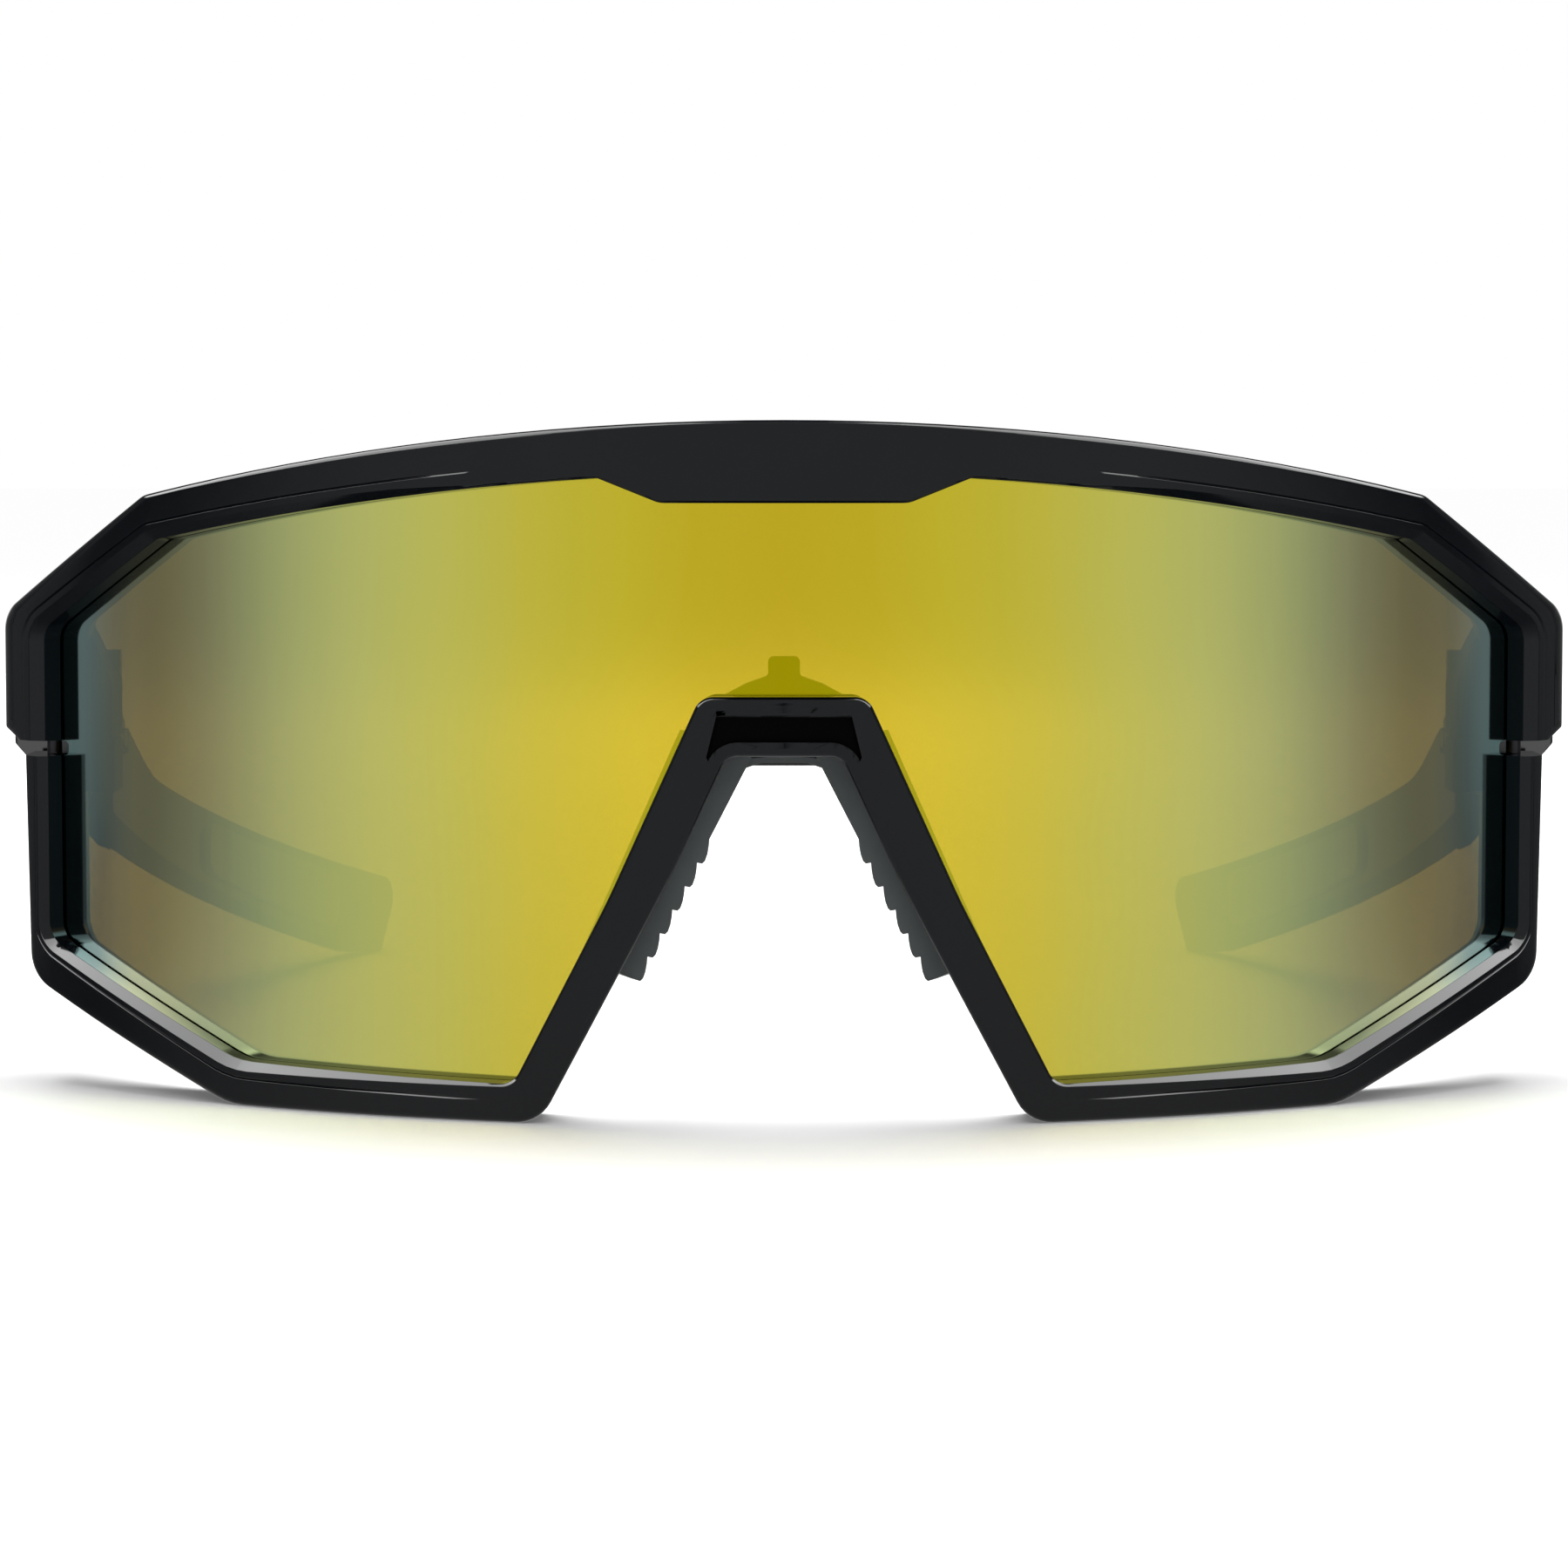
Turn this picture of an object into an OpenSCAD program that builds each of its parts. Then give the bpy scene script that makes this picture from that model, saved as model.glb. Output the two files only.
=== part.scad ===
// Wraparound sport sunglasses: a cylindrical shield lens held between a brow frame and a lower frame,
// with a rubber nose saddle and two folding temples. +X is the wearer's left, the front faces -Y and +Z is up.
// The origin lies on the table under the middle of the whole object.

/* [Front] */
// Width over the two ends of the brow frame
front_w = 147; // [138:1:160]
// Height of the brow's crest above the table
front_h = 61.4; // [56:0.2:68]
// Depth from the brow's face to the ends of the temples
overall_d = 151; // [135:1:175]
// Radius of the lens's front face in plan
wrap_r = 88; // [84:1:110]
// How far the frame stands in front of the lens
frame_proud = 2.8; // [2:0.1:3.2]
// How far the frame reaches behind the lens's front face
frame_behind = 4.4; // [4:0.1:5.5]
// Bevel round the opening
bevel = 0.8; // [0.3:0.1:1]
// Bevel of the frame's outer edge
edge_bevel = 0.6; // [0.3:0.1:0.9]
// Depth of the frame's end walls behind their front edge
end_depth = 5; // [4:0.5:8]

/* [Brow] */
// Radius of the brow's crest line in front view
brow_r = 255; // [200:5:400]
// Height of the brow bar
brow_h = 4.8; // [4:0.1:7]
// Width of the flat under the middle of the brow
bump_w = 21; // [14:1:30]
// Drop of that flat below the rest of the brow
bump_drop = 2.4; // [1:0.1:4]
// Width of each sloping shoulder of the brow
shoulder_w = 17.3; // [12:0.1:22]
// Drop of each sloping shoulder
shoulder_drop = 12.6; // [9:0.1:15]
// Width of the frame beside the lens
side_w = 6.1; // [5.8:0.1:8]

/* [Lower frame] */
// Height of the slit between the two frames, at its lower edge
slit_z = 30.3; // [27:0.1:33]
// Width of the slit
slit_h = 1.4; // [1:0.1:2.5]
// How far each side post is set in from the brow's end
post_inset = 2.9; // [2:0.1:4]
// Height of the lower rim under the lens
rim_h = 3.5; // [3:0.1:5]
// Width of each slanted lower corner
corner_w = 21.1; // [16:0.1:26]
// Height of each slanted lower corner
corner_h = 9.7; // [6:0.1:13]
// Half width of the nose opening at the table
nose_half = 21.9; // [19:0.1:25]
// Underside of the bridge
bridge_z = 32.3; // [29:0.1:36]
// Height of the bridge
bridge_h = 5.2; // [4:0.1:7]
// Half width of the bridge's underside
bridge_half = 5; // [4:0.1:7]

/* [Lens] */
// Thickness of the lens
lens_t = 2; // [1.6:0.1:2.4]
// How far the lens runs into its groove
lens_lap = 1.5; // [1:0.1:2]
// Gap between the lens and each face of its groove
lens_gap = 0.15; // [0.1:0.01:0.3]
// Height of the notch in each end of the lens
notch_h = 1.8; // [1.4:0.1:2.4]
// How far each notch reaches into the part of the lens that shows
notch_in = 0.65; // [0:0.05:1]

/* [Nose] */
// Depth of the nose saddle
pad_d = 11; // [7:0.5:14]
// Thickness of the pad's wings
pad_t = 3; // [2:0.1:4]
// Thickness of the pad under the bridge
saddle_t = 0.6; // [0.5:0.1:2]
// Turn of each wing away from the nose
pad_flare = 20; // [5:1:30]
// Pitch of the lobes on the wings
lobe_pitch = 2.3; // [1.6:0.1:2.8]
// Width of the carrier's tab above the bridge
tab_top_w = 2.8; // [2:0.1:5]
// Height of the carrier's tab above the bridge
tab_top_h = 3.2; // [2:0.1:5]

/* [Hinge] */
// Distance of each hinge axis from the outside of the frame's end
hinge_inset = 6.3; // [5.9:0.1:8]
// Height of the middle of the hinge
hinge_z = 30.6; // [28:0.1:32]
// Radius of the hinge screw
screw_r = 0.8; // [0.6:0.05:1]
// Radius of the fork's eyes
eye_r = 2.3; // [2:0.1:2.5]
// Height of the temple's barrel
barrel_h = 2.9; // [2:0.1:4]
// Thickness of each washer
washer_t = 0.3; // [0.2:0.05:0.5]
// Height of each eye of the fork
eye_h = 2.8; // [2:0.1:3.4]
// Running clearance of the hinge
run_gap = 0.05; // [0.03:0.01:0.1]

/* [Temples] */
// Thickness of a temple at the hinge
root_t = 4.2; // [3.4:0.1:5]
// Thickness of a temple at its tip
tip_t = 3.2; // [2.6:0.1:4]
// Height of a temple at the hinge
root_h = 10.6; // [9.6:0.1:12]
// Height of a temple at its neck
neck_h = 7.3; // [6:0.1:9]
// Height of a temple at its tip
tip_h = 8; // [7:0.1:10]
// Distance between the inner faces of the two tips
tip_spread = 91; // [80:1:105]
// Distance of the neck behind the hinge
neck_back = 24; // [16:1:32]
// Radius of the cord hole near each tip
cord_r = 1.2; // [0.8:0.1:1.5]
// Distance of the cord hole from the tip's end
cord_back = 11; // [9:0.5:14]
// Length of the ear grip
grip_l = 42; // [30:1:50]
// How far the ear grip stands off the arm
grip_proud = 0.6; // [0.3:0.1:1]

/* [Hidden] */
$fn = 96;
seat_gap = 0.1;            // between two fixed pieces that seat on each other
far = 400;                 // longer than the object
over = front_h + 9;        // higher than the object
end_x = front_w / 2;
post_x = end_x - post_inset;
window_x = end_x - side_w;
slit_top = slit_z + slit_h;
face_r = wrap_r + frame_proud;
rear_r = wrap_r - frame_behind;
end_y = wrap_r - sqrt(pow(face_r, 2) - pow(end_x, 2)) + end_depth;
tip_y = overall_d - frame_proud;
plate_t = 1;
hinge_x = end_x - hinge_inset;
hinge_y = end_y + 4.2;
shaft_r = screw_r + run_gap;
pocket_r = eye_r + 0.6;
neck_half = 1.1;            // half the width of the web that carries each eye of the fork
temple_gap = 0.3;

// ---- outlines in front view, as [x, z] points ----

function unit(v) = v / norm(v);
function turned(p, a) = [p[0] * cos(a) - p[1] * sin(a), p[0] * sin(a) + p[1] * cos(a)];

// The arc that rounds corner b of the path a, b, c
function corner(a, b, c, r) =
    let (u = unit(a - b), v = unit(c - b), half = acos(max(-1, min(1, u * v))) / 2)
    r <= 0 || half > 89 ? [b] :
    let (middle = b + unit(u + v) * r / sin(half), start = b + u * r / tan(half) - middle,
         finish = b + v * r / tan(half) - middle, turn = 180 - 2 * half, steps = max(2, ceil(turn / 12)),
         way = cross(start, finish) > 0 ? 1 : -1)
    [for (i = [0:steps]) middle + turned(start, way * turn * i / steps)];

// A closed path of [x, z, radius] corners as points
function rounded(path) =
    let (n = len(path))
    [for (i = [0:n - 1]) let (a = path[(i + n - 1) % n], b = path[i], c = path[(i + 1) % n])
        each corner([a[0], a[1]], [b[0], b[1]], [c[0], c[1]], b[2])];

// The same path with no side longer than step in X, so that it follows the wrap
function stepped(points, step) =
    let (n = len(points))
    [for (i = [0:n - 1]) let (a = points[i], b = points[(i + 1) % n], k = max(1, ceil(abs(b[0] - a[0]) / step)))
        for (j = [0:k - 1]) a + (b - a) * j / k];

// The path moved outwards by d
function grown(points, d) =
    let (n = len(points))
    [for (i = [0:n - 1])
        let (a = unit(points[i] - points[(i + n - 1) % n]), b = unit(points[(i + 1) % n] - points[i]),
             na = [a[1], -a[0]], nb = [b[1], -b[0]])
        points[i] + (na + nb) * d / (1 + na * nb)];

// A path of the +X half, from the bottom to the top, with its mirror image
function mirrored(half) =
    let (n = len(half))
    concat(half, [for (i = [n - 1:-1:0]) if (half[i][0] > 0) [-half[i][0], half[i][1], half[i][2]]]);

// Height of the brow's crest line, or of a line parallel to it
function crest(x, below = 0) = front_h - below - (brow_r - sqrt(pow(brow_r, 2) - x * x));

shoulder_x = end_x - shoulder_w;
shoulder_z = crest(shoulder_x) - shoulder_drop;
function brow_line(x0, x1, below, steps = 10) =
    [for (i = [0:steps]) let (x = x0 + (x1 - x0) * i / steps) [x, crest(x, below), 0]];

lower_half = [[0, bridge_z, 0], [bridge_half, bridge_z, 1.6], [bridge_half + 5.5, bridge_z - 10.7, 60],
    [nose_half, 0, 2.8], [post_x - corner_w, 0, 6], [post_x, corner_h, 3.5]];
lower_outline = rounded(mirrored(concat(lower_half,
    [[post_x, slit_z, 0.6], [window_x - 8, slit_z, 0], [window_x - 30, front_h - 16, 0]])));

// The opening that shows the lens
leg_w = 4.1;
sill_z = rim_h + 0.5;
bump_x = bump_w / 2;
window_shoulder_x = shoulder_x - 2.2;
window_half = concat(
    [[bridge_half + 2.1, bridge_z + bridge_h, 2], [bridge_half + 5.5 + leg_w + 0.6, bridge_z - 12.7, 60],
     [nose_half + 2.4, rim_h - 0.1, 1.8], [post_x - corner_w - 1.2, sill_z, 6], [window_x, corner_h + 3.7, 2.4],
     [window_x, shoulder_z - 0.15, 2.4], [window_shoulder_x, crest(window_shoulder_x, brow_h), 4]],
    brow_line(window_shoulder_x - 5, bump_x + 5.2, brow_h, 8),
    [[bump_x, crest(bump_x, brow_h + bump_drop), 2.2]]);
window_outline = stepped(rounded(mirrored(window_half)), 6);

// A straight plate through the front, seen from the front as the outline
module across(outline) {
    rotate([90, 0, 0])
        translate([0, 0, -wrap_r])
            linear_extrude(wrap_r + 20) polygon(outline);
}

// A plug through the wrapped front. Each layer is [distance from the lens's axis, growth of the outline], from
// the back to the front. Its walls point at the axis, so that they cut the front squarely, or run straight
// back. Both ends run on straight. The outline is seen whole from its point at [0, front_h - 16].
module plug(outline, layers, to_axis = true) {
    n = len(outline);
    rings = [for (layer = layers) [for (p = grown(outline, layer[1]))
        let (r = layer[0], x = to_axis ? p[0] * r / wrap_r : p[0]) [x, -sqrt(r * r - x * x), p[1]]]];
    ends = concat([[for (p = rings[0]) [p[0], -10, p[2]]]], rings,
        [[for (p = rings[len(rings) - 1]) [p[0], -face_r - 9, p[2]]]]);
    walls = [for (k = [0:len(ends) - 2], i = [0:n - 1])
        [k * n + i, (k + 1) * n + i, (k + 1) * n + (i + 1) % n, k * n + (i + 1) % n]];
    last = (len(ends) - 1) * n;
    heart = [len(ends) * n, len(ends) * n + 1];
    translate([0, wrap_r, 0])
        polyhedron(concat([for (ring = ends) each ring], [[0, -10, front_h - 16], [0, -face_r - 9, front_h - 16]]),
            concat([for (i = [0:n - 1]) [i, (i + 1) % n, heart[0]]], walls,
                [for (i = [0:n - 1]) [last + (i + 1) % n, last + i, heart[1]]]));
}

// The wrapped front inside an outline, with its outer edge bevelled
module bevelled_front(outline) {
    intersection() {
        shell(rear_r, face_r);
        plug(stepped(rounded(mirrored(outline)), 6),
            [[face_r - edge_bevel, 0], [face_r + 0.4, -edge_bevel - 0.4]], false);
    }
}

// The part of a plug that lies between two distances from the lens's axis
module shell(inner, outer, low = -1, high = over) {
    translate([0, wrap_r, low]) difference() {
        cylinder(r = outer, h = high - low, $fn = 180);
        translate([0, 0, -1]) cylinder(r = inner, h = high - low + 2, $fn = 180);
    }
}

module slab(x0, x1, y0, y1, z0, z1) {
    translate([x0, y0, z0]) cube([x1 - x0, y1 - y0, z1 - z0]);
}

// The middle of the object lies over the origin
module placed() {
    translate([0, frame_proud - overall_d / 2, 0]) children();
}

module on_side(left) {
    mirror([left ? 0 : 1, 0, 0]) children();
}

module on_both_sides() {
    children();
    mirror([1, 0, 0]) children();
}

// ---- front ----

dowel_r = 0.7;
dowel_x = post_x - 1.7;
post_back = end_y - 1.8;
dowel_y = post_back - 1.6;
dowel_up = 4.6;

module lens_groove() {
    intersection() {
        shell(wrap_r - lens_t - lens_gap, wrap_r + lens_gap);
        plug(grown(window_outline, lens_lap + 2 * lens_gap), [[rear_r, 0], [face_r, 0]]);
    }
}

// The block behind the brow's end that the hinge bracket is screwed to
block_in = hinge_x - 4.3;
block_low = hinge_z - 4.1;
block_top = shoulder_z - 1.2;
module hinge_block() {
    intersection() {
        shell(60, rear_r + 1, block_low);
        across([[block_in, 0], [far, 0], [far, block_top], [block_in + 2.6, block_top], [block_in, block_top - 5.2]]);
    }
    intersection() {
        shell(60, face_r - 1, block_low);
        across([[end_x - 9, 0], [end_x, 0], [end_x, shoulder_z - 1], [end_x - 9, shoulder_z - 1]]);
    }
}

// What the brow leaves free for the lower frame: everything under the slit except the foot of the block, and
// the slanted corner of the brow's end
foot_cut = [1.9, 0.95];
module below_slit() {
    shell(rear_r - temple_gap, face_r + 9, -1, slit_top);
    across([[end_x - 2 * foot_cut[0], slit_top - foot_cut[1]], [far, slit_top - foot_cut[1]],
        [far, slit_top + foot_cut[1]], [end_x, slit_top + foot_cut[1]]]);
}

screw_rows = [hinge_x - 2.9, hinge_x + 0.7];
bracket_screw_z = hinge_z + 7.4;

module brow_frame() color([0.13, 0.14, 0.15]) placed() difference() {
    intersection() {
        union() {
            bevelled_front([[end_x, -9, 0], [end_x, shoulder_z, 3], [shoulder_x, crest(shoulder_x), 3],
                each brow_line(shoulder_x - 4, 0, 0)]);
            on_both_sides() hinge_block();
        }
        slab(-far, far, -10, end_y, -1, over);
    }
    radial_window();
    lens_groove();
    slab(8 - window_x, window_x - 8, -20, 20, -2, front_h - 16);
    on_both_sides() {
        below_slit();
        translate([dowel_x, dowel_y, slit_top - 1]) cylinder(r = dowel_r + run_gap, h = dowel_up + 1.3);
        for (x = screw_rows)
            translate([x, end_y + 1, bracket_screw_z]) rotate([90, 0, 0]) cylinder(r = 0.6 + run_gap, h = 5);
    }
}

// The opening in the frame, bevelled at the front and flared behind the lens. It stops at the back of the
// frame, so that the hinge blocks stay whole.
flare = 1.7;
module radial_window() {
    intersection() {
        plug(window_outline, [[rear_r - 1, flare], [wrap_r - lens_t - 0.8, 0], [face_r - bevel, 0],
            [face_r + bevel, 2 * bevel]]);
        shell(rear_r - 0.01, face_r + 4);
    }
}

module lens() color([0.7, 0.66, 0.2, 0.8]) placed() difference() {
    intersection() {
        shell(wrap_r - lens_t, wrap_r);
        plug(grown(window_outline, lens_lap), [[rear_r, 0], [face_r, 0]]);
    }
    on_both_sides() lens_notch();
}

// The notch in the end of the lens, level with the slit
module lens_notch() {
    start = asin((window_x - notch_in) / wrap_r);
    translate([0, wrap_r, slit_z + (slit_h - notch_h) / 2])
        rotate([0, 0, start - 90])
            rotate_extrude(angle = 2 * (lens_lap + notch_in) / wrap_r * 180 / PI)
                translate([wrap_r - lens_t - 2, 0]) square([lens_t + 4, notch_h]);
}

module lower_frame() color([0.13, 0.14, 0.15]) placed() difference() {
    intersection() {
        bevelled_front(concat(lower_half, [[post_x, over, 0]]));
        slab(-far, far, -10, post_back, -1, over);
    }
    across([[window_x - 30, front_h - 16], [window_x - 8, slit_z], [far, slit_z], [far, 2 * over],
        [-far, 2 * over], [-far, slit_z], [8 - window_x, slit_z], [30 - window_x, front_h - 16]]);
    radial_window();
    lens_groove();
    bridge_scoop();
    on_both_sides()
        translate([dowel_x, dowel_y, slit_z - 5.2]) cylinder(r = dowel_r + run_gap, h = 6);
}

// The hollow in the face of the bridge, which runs out to a point on each leg
scoop_d = 1.1;
scoop_outline = rounded(mirrored([[0, bridge_z + 0.7, 0], [bridge_half - 1, bridge_z + 0.7, 1.2],
    [bridge_half + 0.5, bridge_z - 0.9, 0.8], [bridge_half + 1.8, bridge_z - 3.4, 0],
    [bridge_half + 1.7, bridge_z + 0.8, 3], [bridge_half + 0.7, bridge_z + bridge_h - 0.9, 0.5]]));
module bridge_scoop() {
    intersection() {
        shell(face_r - scoop_d, face_r + 1);
        across(scoop_outline);
    }
}

module jaw_pins() color([0.75, 0.76, 0.78]) placed() on_both_sides()
    translate([dowel_x, dowel_y, slit_z - 5]) cylinder(r = dowel_r, h = 5 + slit_h + dowel_up);

// ---- nose ----

carrier_t = 1.5;
carrier_r = rear_r - seat_gap;
carrier_half = bridge_half + 0.6;
carrier_outline = rounded(mirrored([
    [0, bridge_z - 1.2, 0], [carrier_half - 0.4, bridge_z - 1.2, 1], [carrier_half, bridge_z + bridge_h - 0.4, 0.6],
    [carrier_half - 2.2, bridge_z + bridge_h + 0.8, 0.6], [tab_top_w / 2, bridge_z + bridge_h + 1.5, 0.4],
    [tab_top_w / 2, bridge_z + bridge_h + tab_top_h, 0.5]]));

module nose_carrier() color([0.16, 0.17, 0.18]) placed() intersection() {
    shell(carrier_r - carrier_t, carrier_r);
    across(carrier_outline);
}

// Line of the wing's nose side, from the bridge down
wing_top = [bridge_half - 1.4, bridge_z - 1.1];
wing_low = [bridge_half + 7.5, bridge_z - 19.9];
wing_way = unit(wing_low - wing_top);
wing_side = [wing_way[1], -wing_way[0]];
wing_len = norm(wing_low - wing_top);
lobes = 6;
// Each lobe swells towards its lower end: [share of the pitch, swell towards the nose]
lobe = [[0, 0], [0.25, 0.22], [0.55, 0.42], [0.82, 0.5], [0.96, 0.4]];
function wing_point(along, out) = wing_top + wing_way * along - wing_side * out;
function lobe_start(i) = wing_len - (lobes - i) * lobe_pitch;

wing_outline = concat([wing_point(-1.5, 0)],
    [for (i = [0:lobes - 1], p = lobe) wing_point(lobe_start(i) + p[0] * lobe_pitch, -p[1])],
    [wing_point(wing_len, 0.3), wing_point(wing_len, pad_t - 1), wing_point(wing_len - 1, pad_t),
     wing_point(-1.5, pad_t)]);

module wing() {
    turn_at = wing_top;
    translate([turn_at[0], 2.2, 0]) rotate([0, 0, -pad_flare]) translate([-turn_at[0], 0, 0])
        rotate([90, 0, 0]) translate([0, 0, -pad_d]) linear_extrude(pad_d + 4) polygon(wing_outline);
}

module nose_pad() color([0.27, 0.3, 0.31]) placed() difference() {
    union() {
        on_both_sides() wing();
        rotate([90, 0, 0]) translate([0, 0, -pad_d - 2]) linear_extrude(pad_d)
            polygon(rounded(mirrored([[0, bridge_z - 0.2 - saddle_t, 0],
                [wing_top[0] - 1.6, bridge_z - 0.2 - saddle_t, 1], [wing_top[0] + 0.2, wing_top[1] - 0.3, 0.3],
                [wing_top[0] + 1.8, bridge_z - 4.6, 0.4], [wing_top[0] + 2.6, bridge_z - 0.6, 1.4],
                [0, bridge_z - 0.2, 0]])));
    }
    // keeps clear of the lower frame and its carrier
    intersection() {
        shell(carrier_r - seat_gap, face_r + 9);
        across(grown(lower_outline, seat_gap));
    }
    shell(wrap_r - 1.2, face_r + 9);
    intersection() {
        shell(carrier_r - carrier_t - seat_gap, carrier_r + seat_gap);
        across(grown(carrier_outline, seat_gap));
    }
}

// ---- hinges ----

barrel_low = hinge_z - barrel_h / 2;
eye_low = barrel_h / 2 + washer_t + 2 * run_gap;

module eye(z) {
    translate([hinge_x, hinge_y, z]) cylinder(r = eye_r, h = eye_h);
    slab(hinge_x - neck_half, hinge_x + neck_half, end_y + plate_t / 2, hinge_y, z, z + eye_h);
}

module hinge_bracket(left) color([0.6, 0.61, 0.63]) placed() on_side(left) difference() {
    union() {
        slab(hinge_x - 4.1, hinge_x + 1.9, end_y, end_y + plate_t, hinge_z + eye_low, bracket_screw_z + 1.8);
        slab(hinge_x - 2.6, hinge_x + 1.9, end_y, end_y + plate_t, block_low, hinge_z + eye_low + 1);
        eye(hinge_z + eye_low);
        eye(hinge_z - eye_low - eye_h);
    }
    translate([hinge_x, hinge_y, 0]) cylinder(r = shaft_r, h = over);
    translate([hinge_x, hinge_y, hinge_z + eye_low + eye_h - 0.6]) cylinder(r = 1.6, h = 3);
    for (x = screw_rows)
        translate([x, end_y + 3, bracket_screw_z]) rotate([90, 0, 0]) cylinder(r = 0.6 + run_gap, h = 5);
}

// A screw along +Z with its head on top at z = 0
module small_screw(shank_r, shank_l, head_r, head_h) {
    difference() {
        union() {
            translate([0, 0, -shank_l]) cylinder(r = shank_r, h = shank_l);
            cylinder(r = head_r, h = head_h);
        }
        translate([-far / 2, -head_r / 6, head_h * 0.5]) cube([far, head_r / 3, head_h]);
    }
}

module bracket_screws() color([0.75, 0.76, 0.78]) placed() on_both_sides()
    for (x = screw_rows)
        translate([x, end_y + plate_t, bracket_screw_z]) rotate([-90, 0, 0]) small_screw(0.6, 4.2, 1, 0.5);

module hinge_screw(left) color([0.75, 0.76, 0.78]) placed() on_side(left)
    translate([hinge_x, hinge_y, hinge_z + eye_low + eye_h - 0.55])
        small_screw(screw_r, 2 * (eye_low + eye_h) - 0.55, 1.5, 0.9);

module hinge_washers(left) color([0.9, 0.9, 0.88]) placed() on_side(left)
    for (z = [hinge_z + barrel_h / 2 + run_gap, hinge_z - barrel_h / 2 - run_gap - washer_t])
        translate([hinge_x, hinge_y, z]) difference() {
            cylinder(r = eye_r - 0.2, h = washer_t);
            translate([0, 0, -1]) cylinder(r = shaft_r, h = 3);
        }

// ---- temples ----

temple_run = tip_y - hinge_y;
inner_x = hinge_x - 2.5;
outer_x = inner_x + root_t;
tip_inner_x = tip_spread / 2;
function arc_radius(dx) = (pow(temple_run, 2) + dx * dx) / (2 * dx);
inner_r = arc_radius(inner_x - tip_inner_x);
outer_r = arc_radius(outer_x - tip_inner_x - tip_t);
root_front = end_y + temple_gap;
root_top = hinge_z + root_h / 2;
root_low = hinge_z - root_h / 2;
heel_y = tip_y - 6.5;
neck_y = hinge_y + neck_back;
// The underside is one straight line from the root down to the heel of the tip
function underside(y) = root_low * (heel_y - y) / (heel_y - root_front);

neck_top = underside(neck_y) + neck_h;
// The upper edge is straight too, from the neck to the tip
function topside(y) = neck_top + (tip_h - neck_top) * (y - neck_y) / (tip_y - neck_y);

temple_profile = rounded([
    [root_front, root_top, 1.5], [hinge_y + 2, root_top - 0.4, 12], [neck_y, neck_top, 30], [tip_y, tip_h, 2.5],
    [tip_y - 4.6, 0, 1], [heel_y - 2, underside(heel_y - 2), 0], [root_front, root_low, 2]]);

module side_profile(outline) {
    rotate([90, 0, 90]) linear_extrude(far / 2) polygon(outline);
}

module arm_face(r, x) {
    translate([x - r, hinge_y, -1]) cylinder(r = r, h = over, $fn = 360);
}

// Angle of the arm's inner face at a distance behind the hinge
function arm_angle(back) = asin(back / inner_r);
cord_run = temple_run - cord_back;
cord_y = hinge_y + cord_run;
cord_x = inner_x - inner_r + sqrt(pow(inner_r, 2) - pow(cord_run, 2));
cord_z = (underside(cord_y) + tip_h + 2) / 2;
grip_end = tip_y - cord_back - 6;
leaf_l = 11;
leaf_t = 1.3;
leaf_screw_y = [hinge_y + 6, hinge_y + 9.4];

grip_inset = 1.3;
grip_sunk = 0.8;
function grip_profile(spare) =
    let (y0 = grip_end - grip_l - spare, y1 = grip_end + spare, in = grip_inset - spare)
    rounded([[y0, topside(y0) - in, 2], [y1, topside(y1) - in, 2], [y1, underside(y1) + in, 2],
        [y0, underside(y0) + in, 2]]);

// The band of the inner face that the grip fills, with room to spare for its seat
module grip_band(spare) {
    intersection() {
        difference() {
            arm_face(inner_r + grip_sunk + spare, inner_x + grip_sunk + spare);
            arm_face(inner_r - grip_proud - spare, inner_x - grip_proud - spare);
        }
        side_profile(grip_profile(spare));
    }
}

module temple_arm(left) color([0.12, 0.13, 0.14]) placed() on_side(left) difference() {
    intersection() {
        union() {
            intersection() {
                difference() {
                    arm_face(outer_r, outer_x);
                    arm_face(inner_r, inner_x);
                }
                slab(0, far, hinge_y, far, -1, over);
            }
            linear_extrude(over) polygon(rounded([
                [hinge_x + 2.6, root_front, 0], [end_x - 0.2, root_front, 0.5], [end_x - 0.2, hinge_y + 1, 12],
                [outer_x - 0.6, neck_y, 0], [outer_x - 1.4, neck_y - 2, 0], [inner_x + 1, hinge_y + 4, 0]]));
        }
        side_profile(temple_profile);
        root_chamfer();
    }
    translate([hinge_x, hinge_y, 0]) cylinder(r = pocket_r, h = over);
    slab(inner_x - 1, inner_x + leaf_t + 0.2, hinge_y, hinge_y + leaf_l + seat_gap,
        barrel_low - seat_gap, barrel_low + barrel_h + seat_gap);
    for (y = leaf_screw_y)
        translate([inner_x, y, hinge_z]) rotate([0, 90, 0]) cylinder(r = 0.5 + run_gap, h = 3.4);
    grip_band(run_gap);
    cord_bore();
}

// The lower outside edge of the root leans in, clear of the side post
module root_chamfer() {
    rotate([90, 0, 0]) translate([0, 0, -far]) linear_extrude(far)
        polygon([[0, -1], [outer_x + 0.1, -1], [outer_x + 0.1, hinge_z - 4.4], [end_x, hinge_z + 0.6],
            [end_x, over], [0, over]]);
}

module cord_bore() {
    translate([cord_x, cord_y, cord_z]) rotate([0, 0, arm_angle(cord_run)]) rotate([0, 90, 0])
        translate([0, 0, -5]) cylinder(r = cord_r, h = 12);
}

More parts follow.
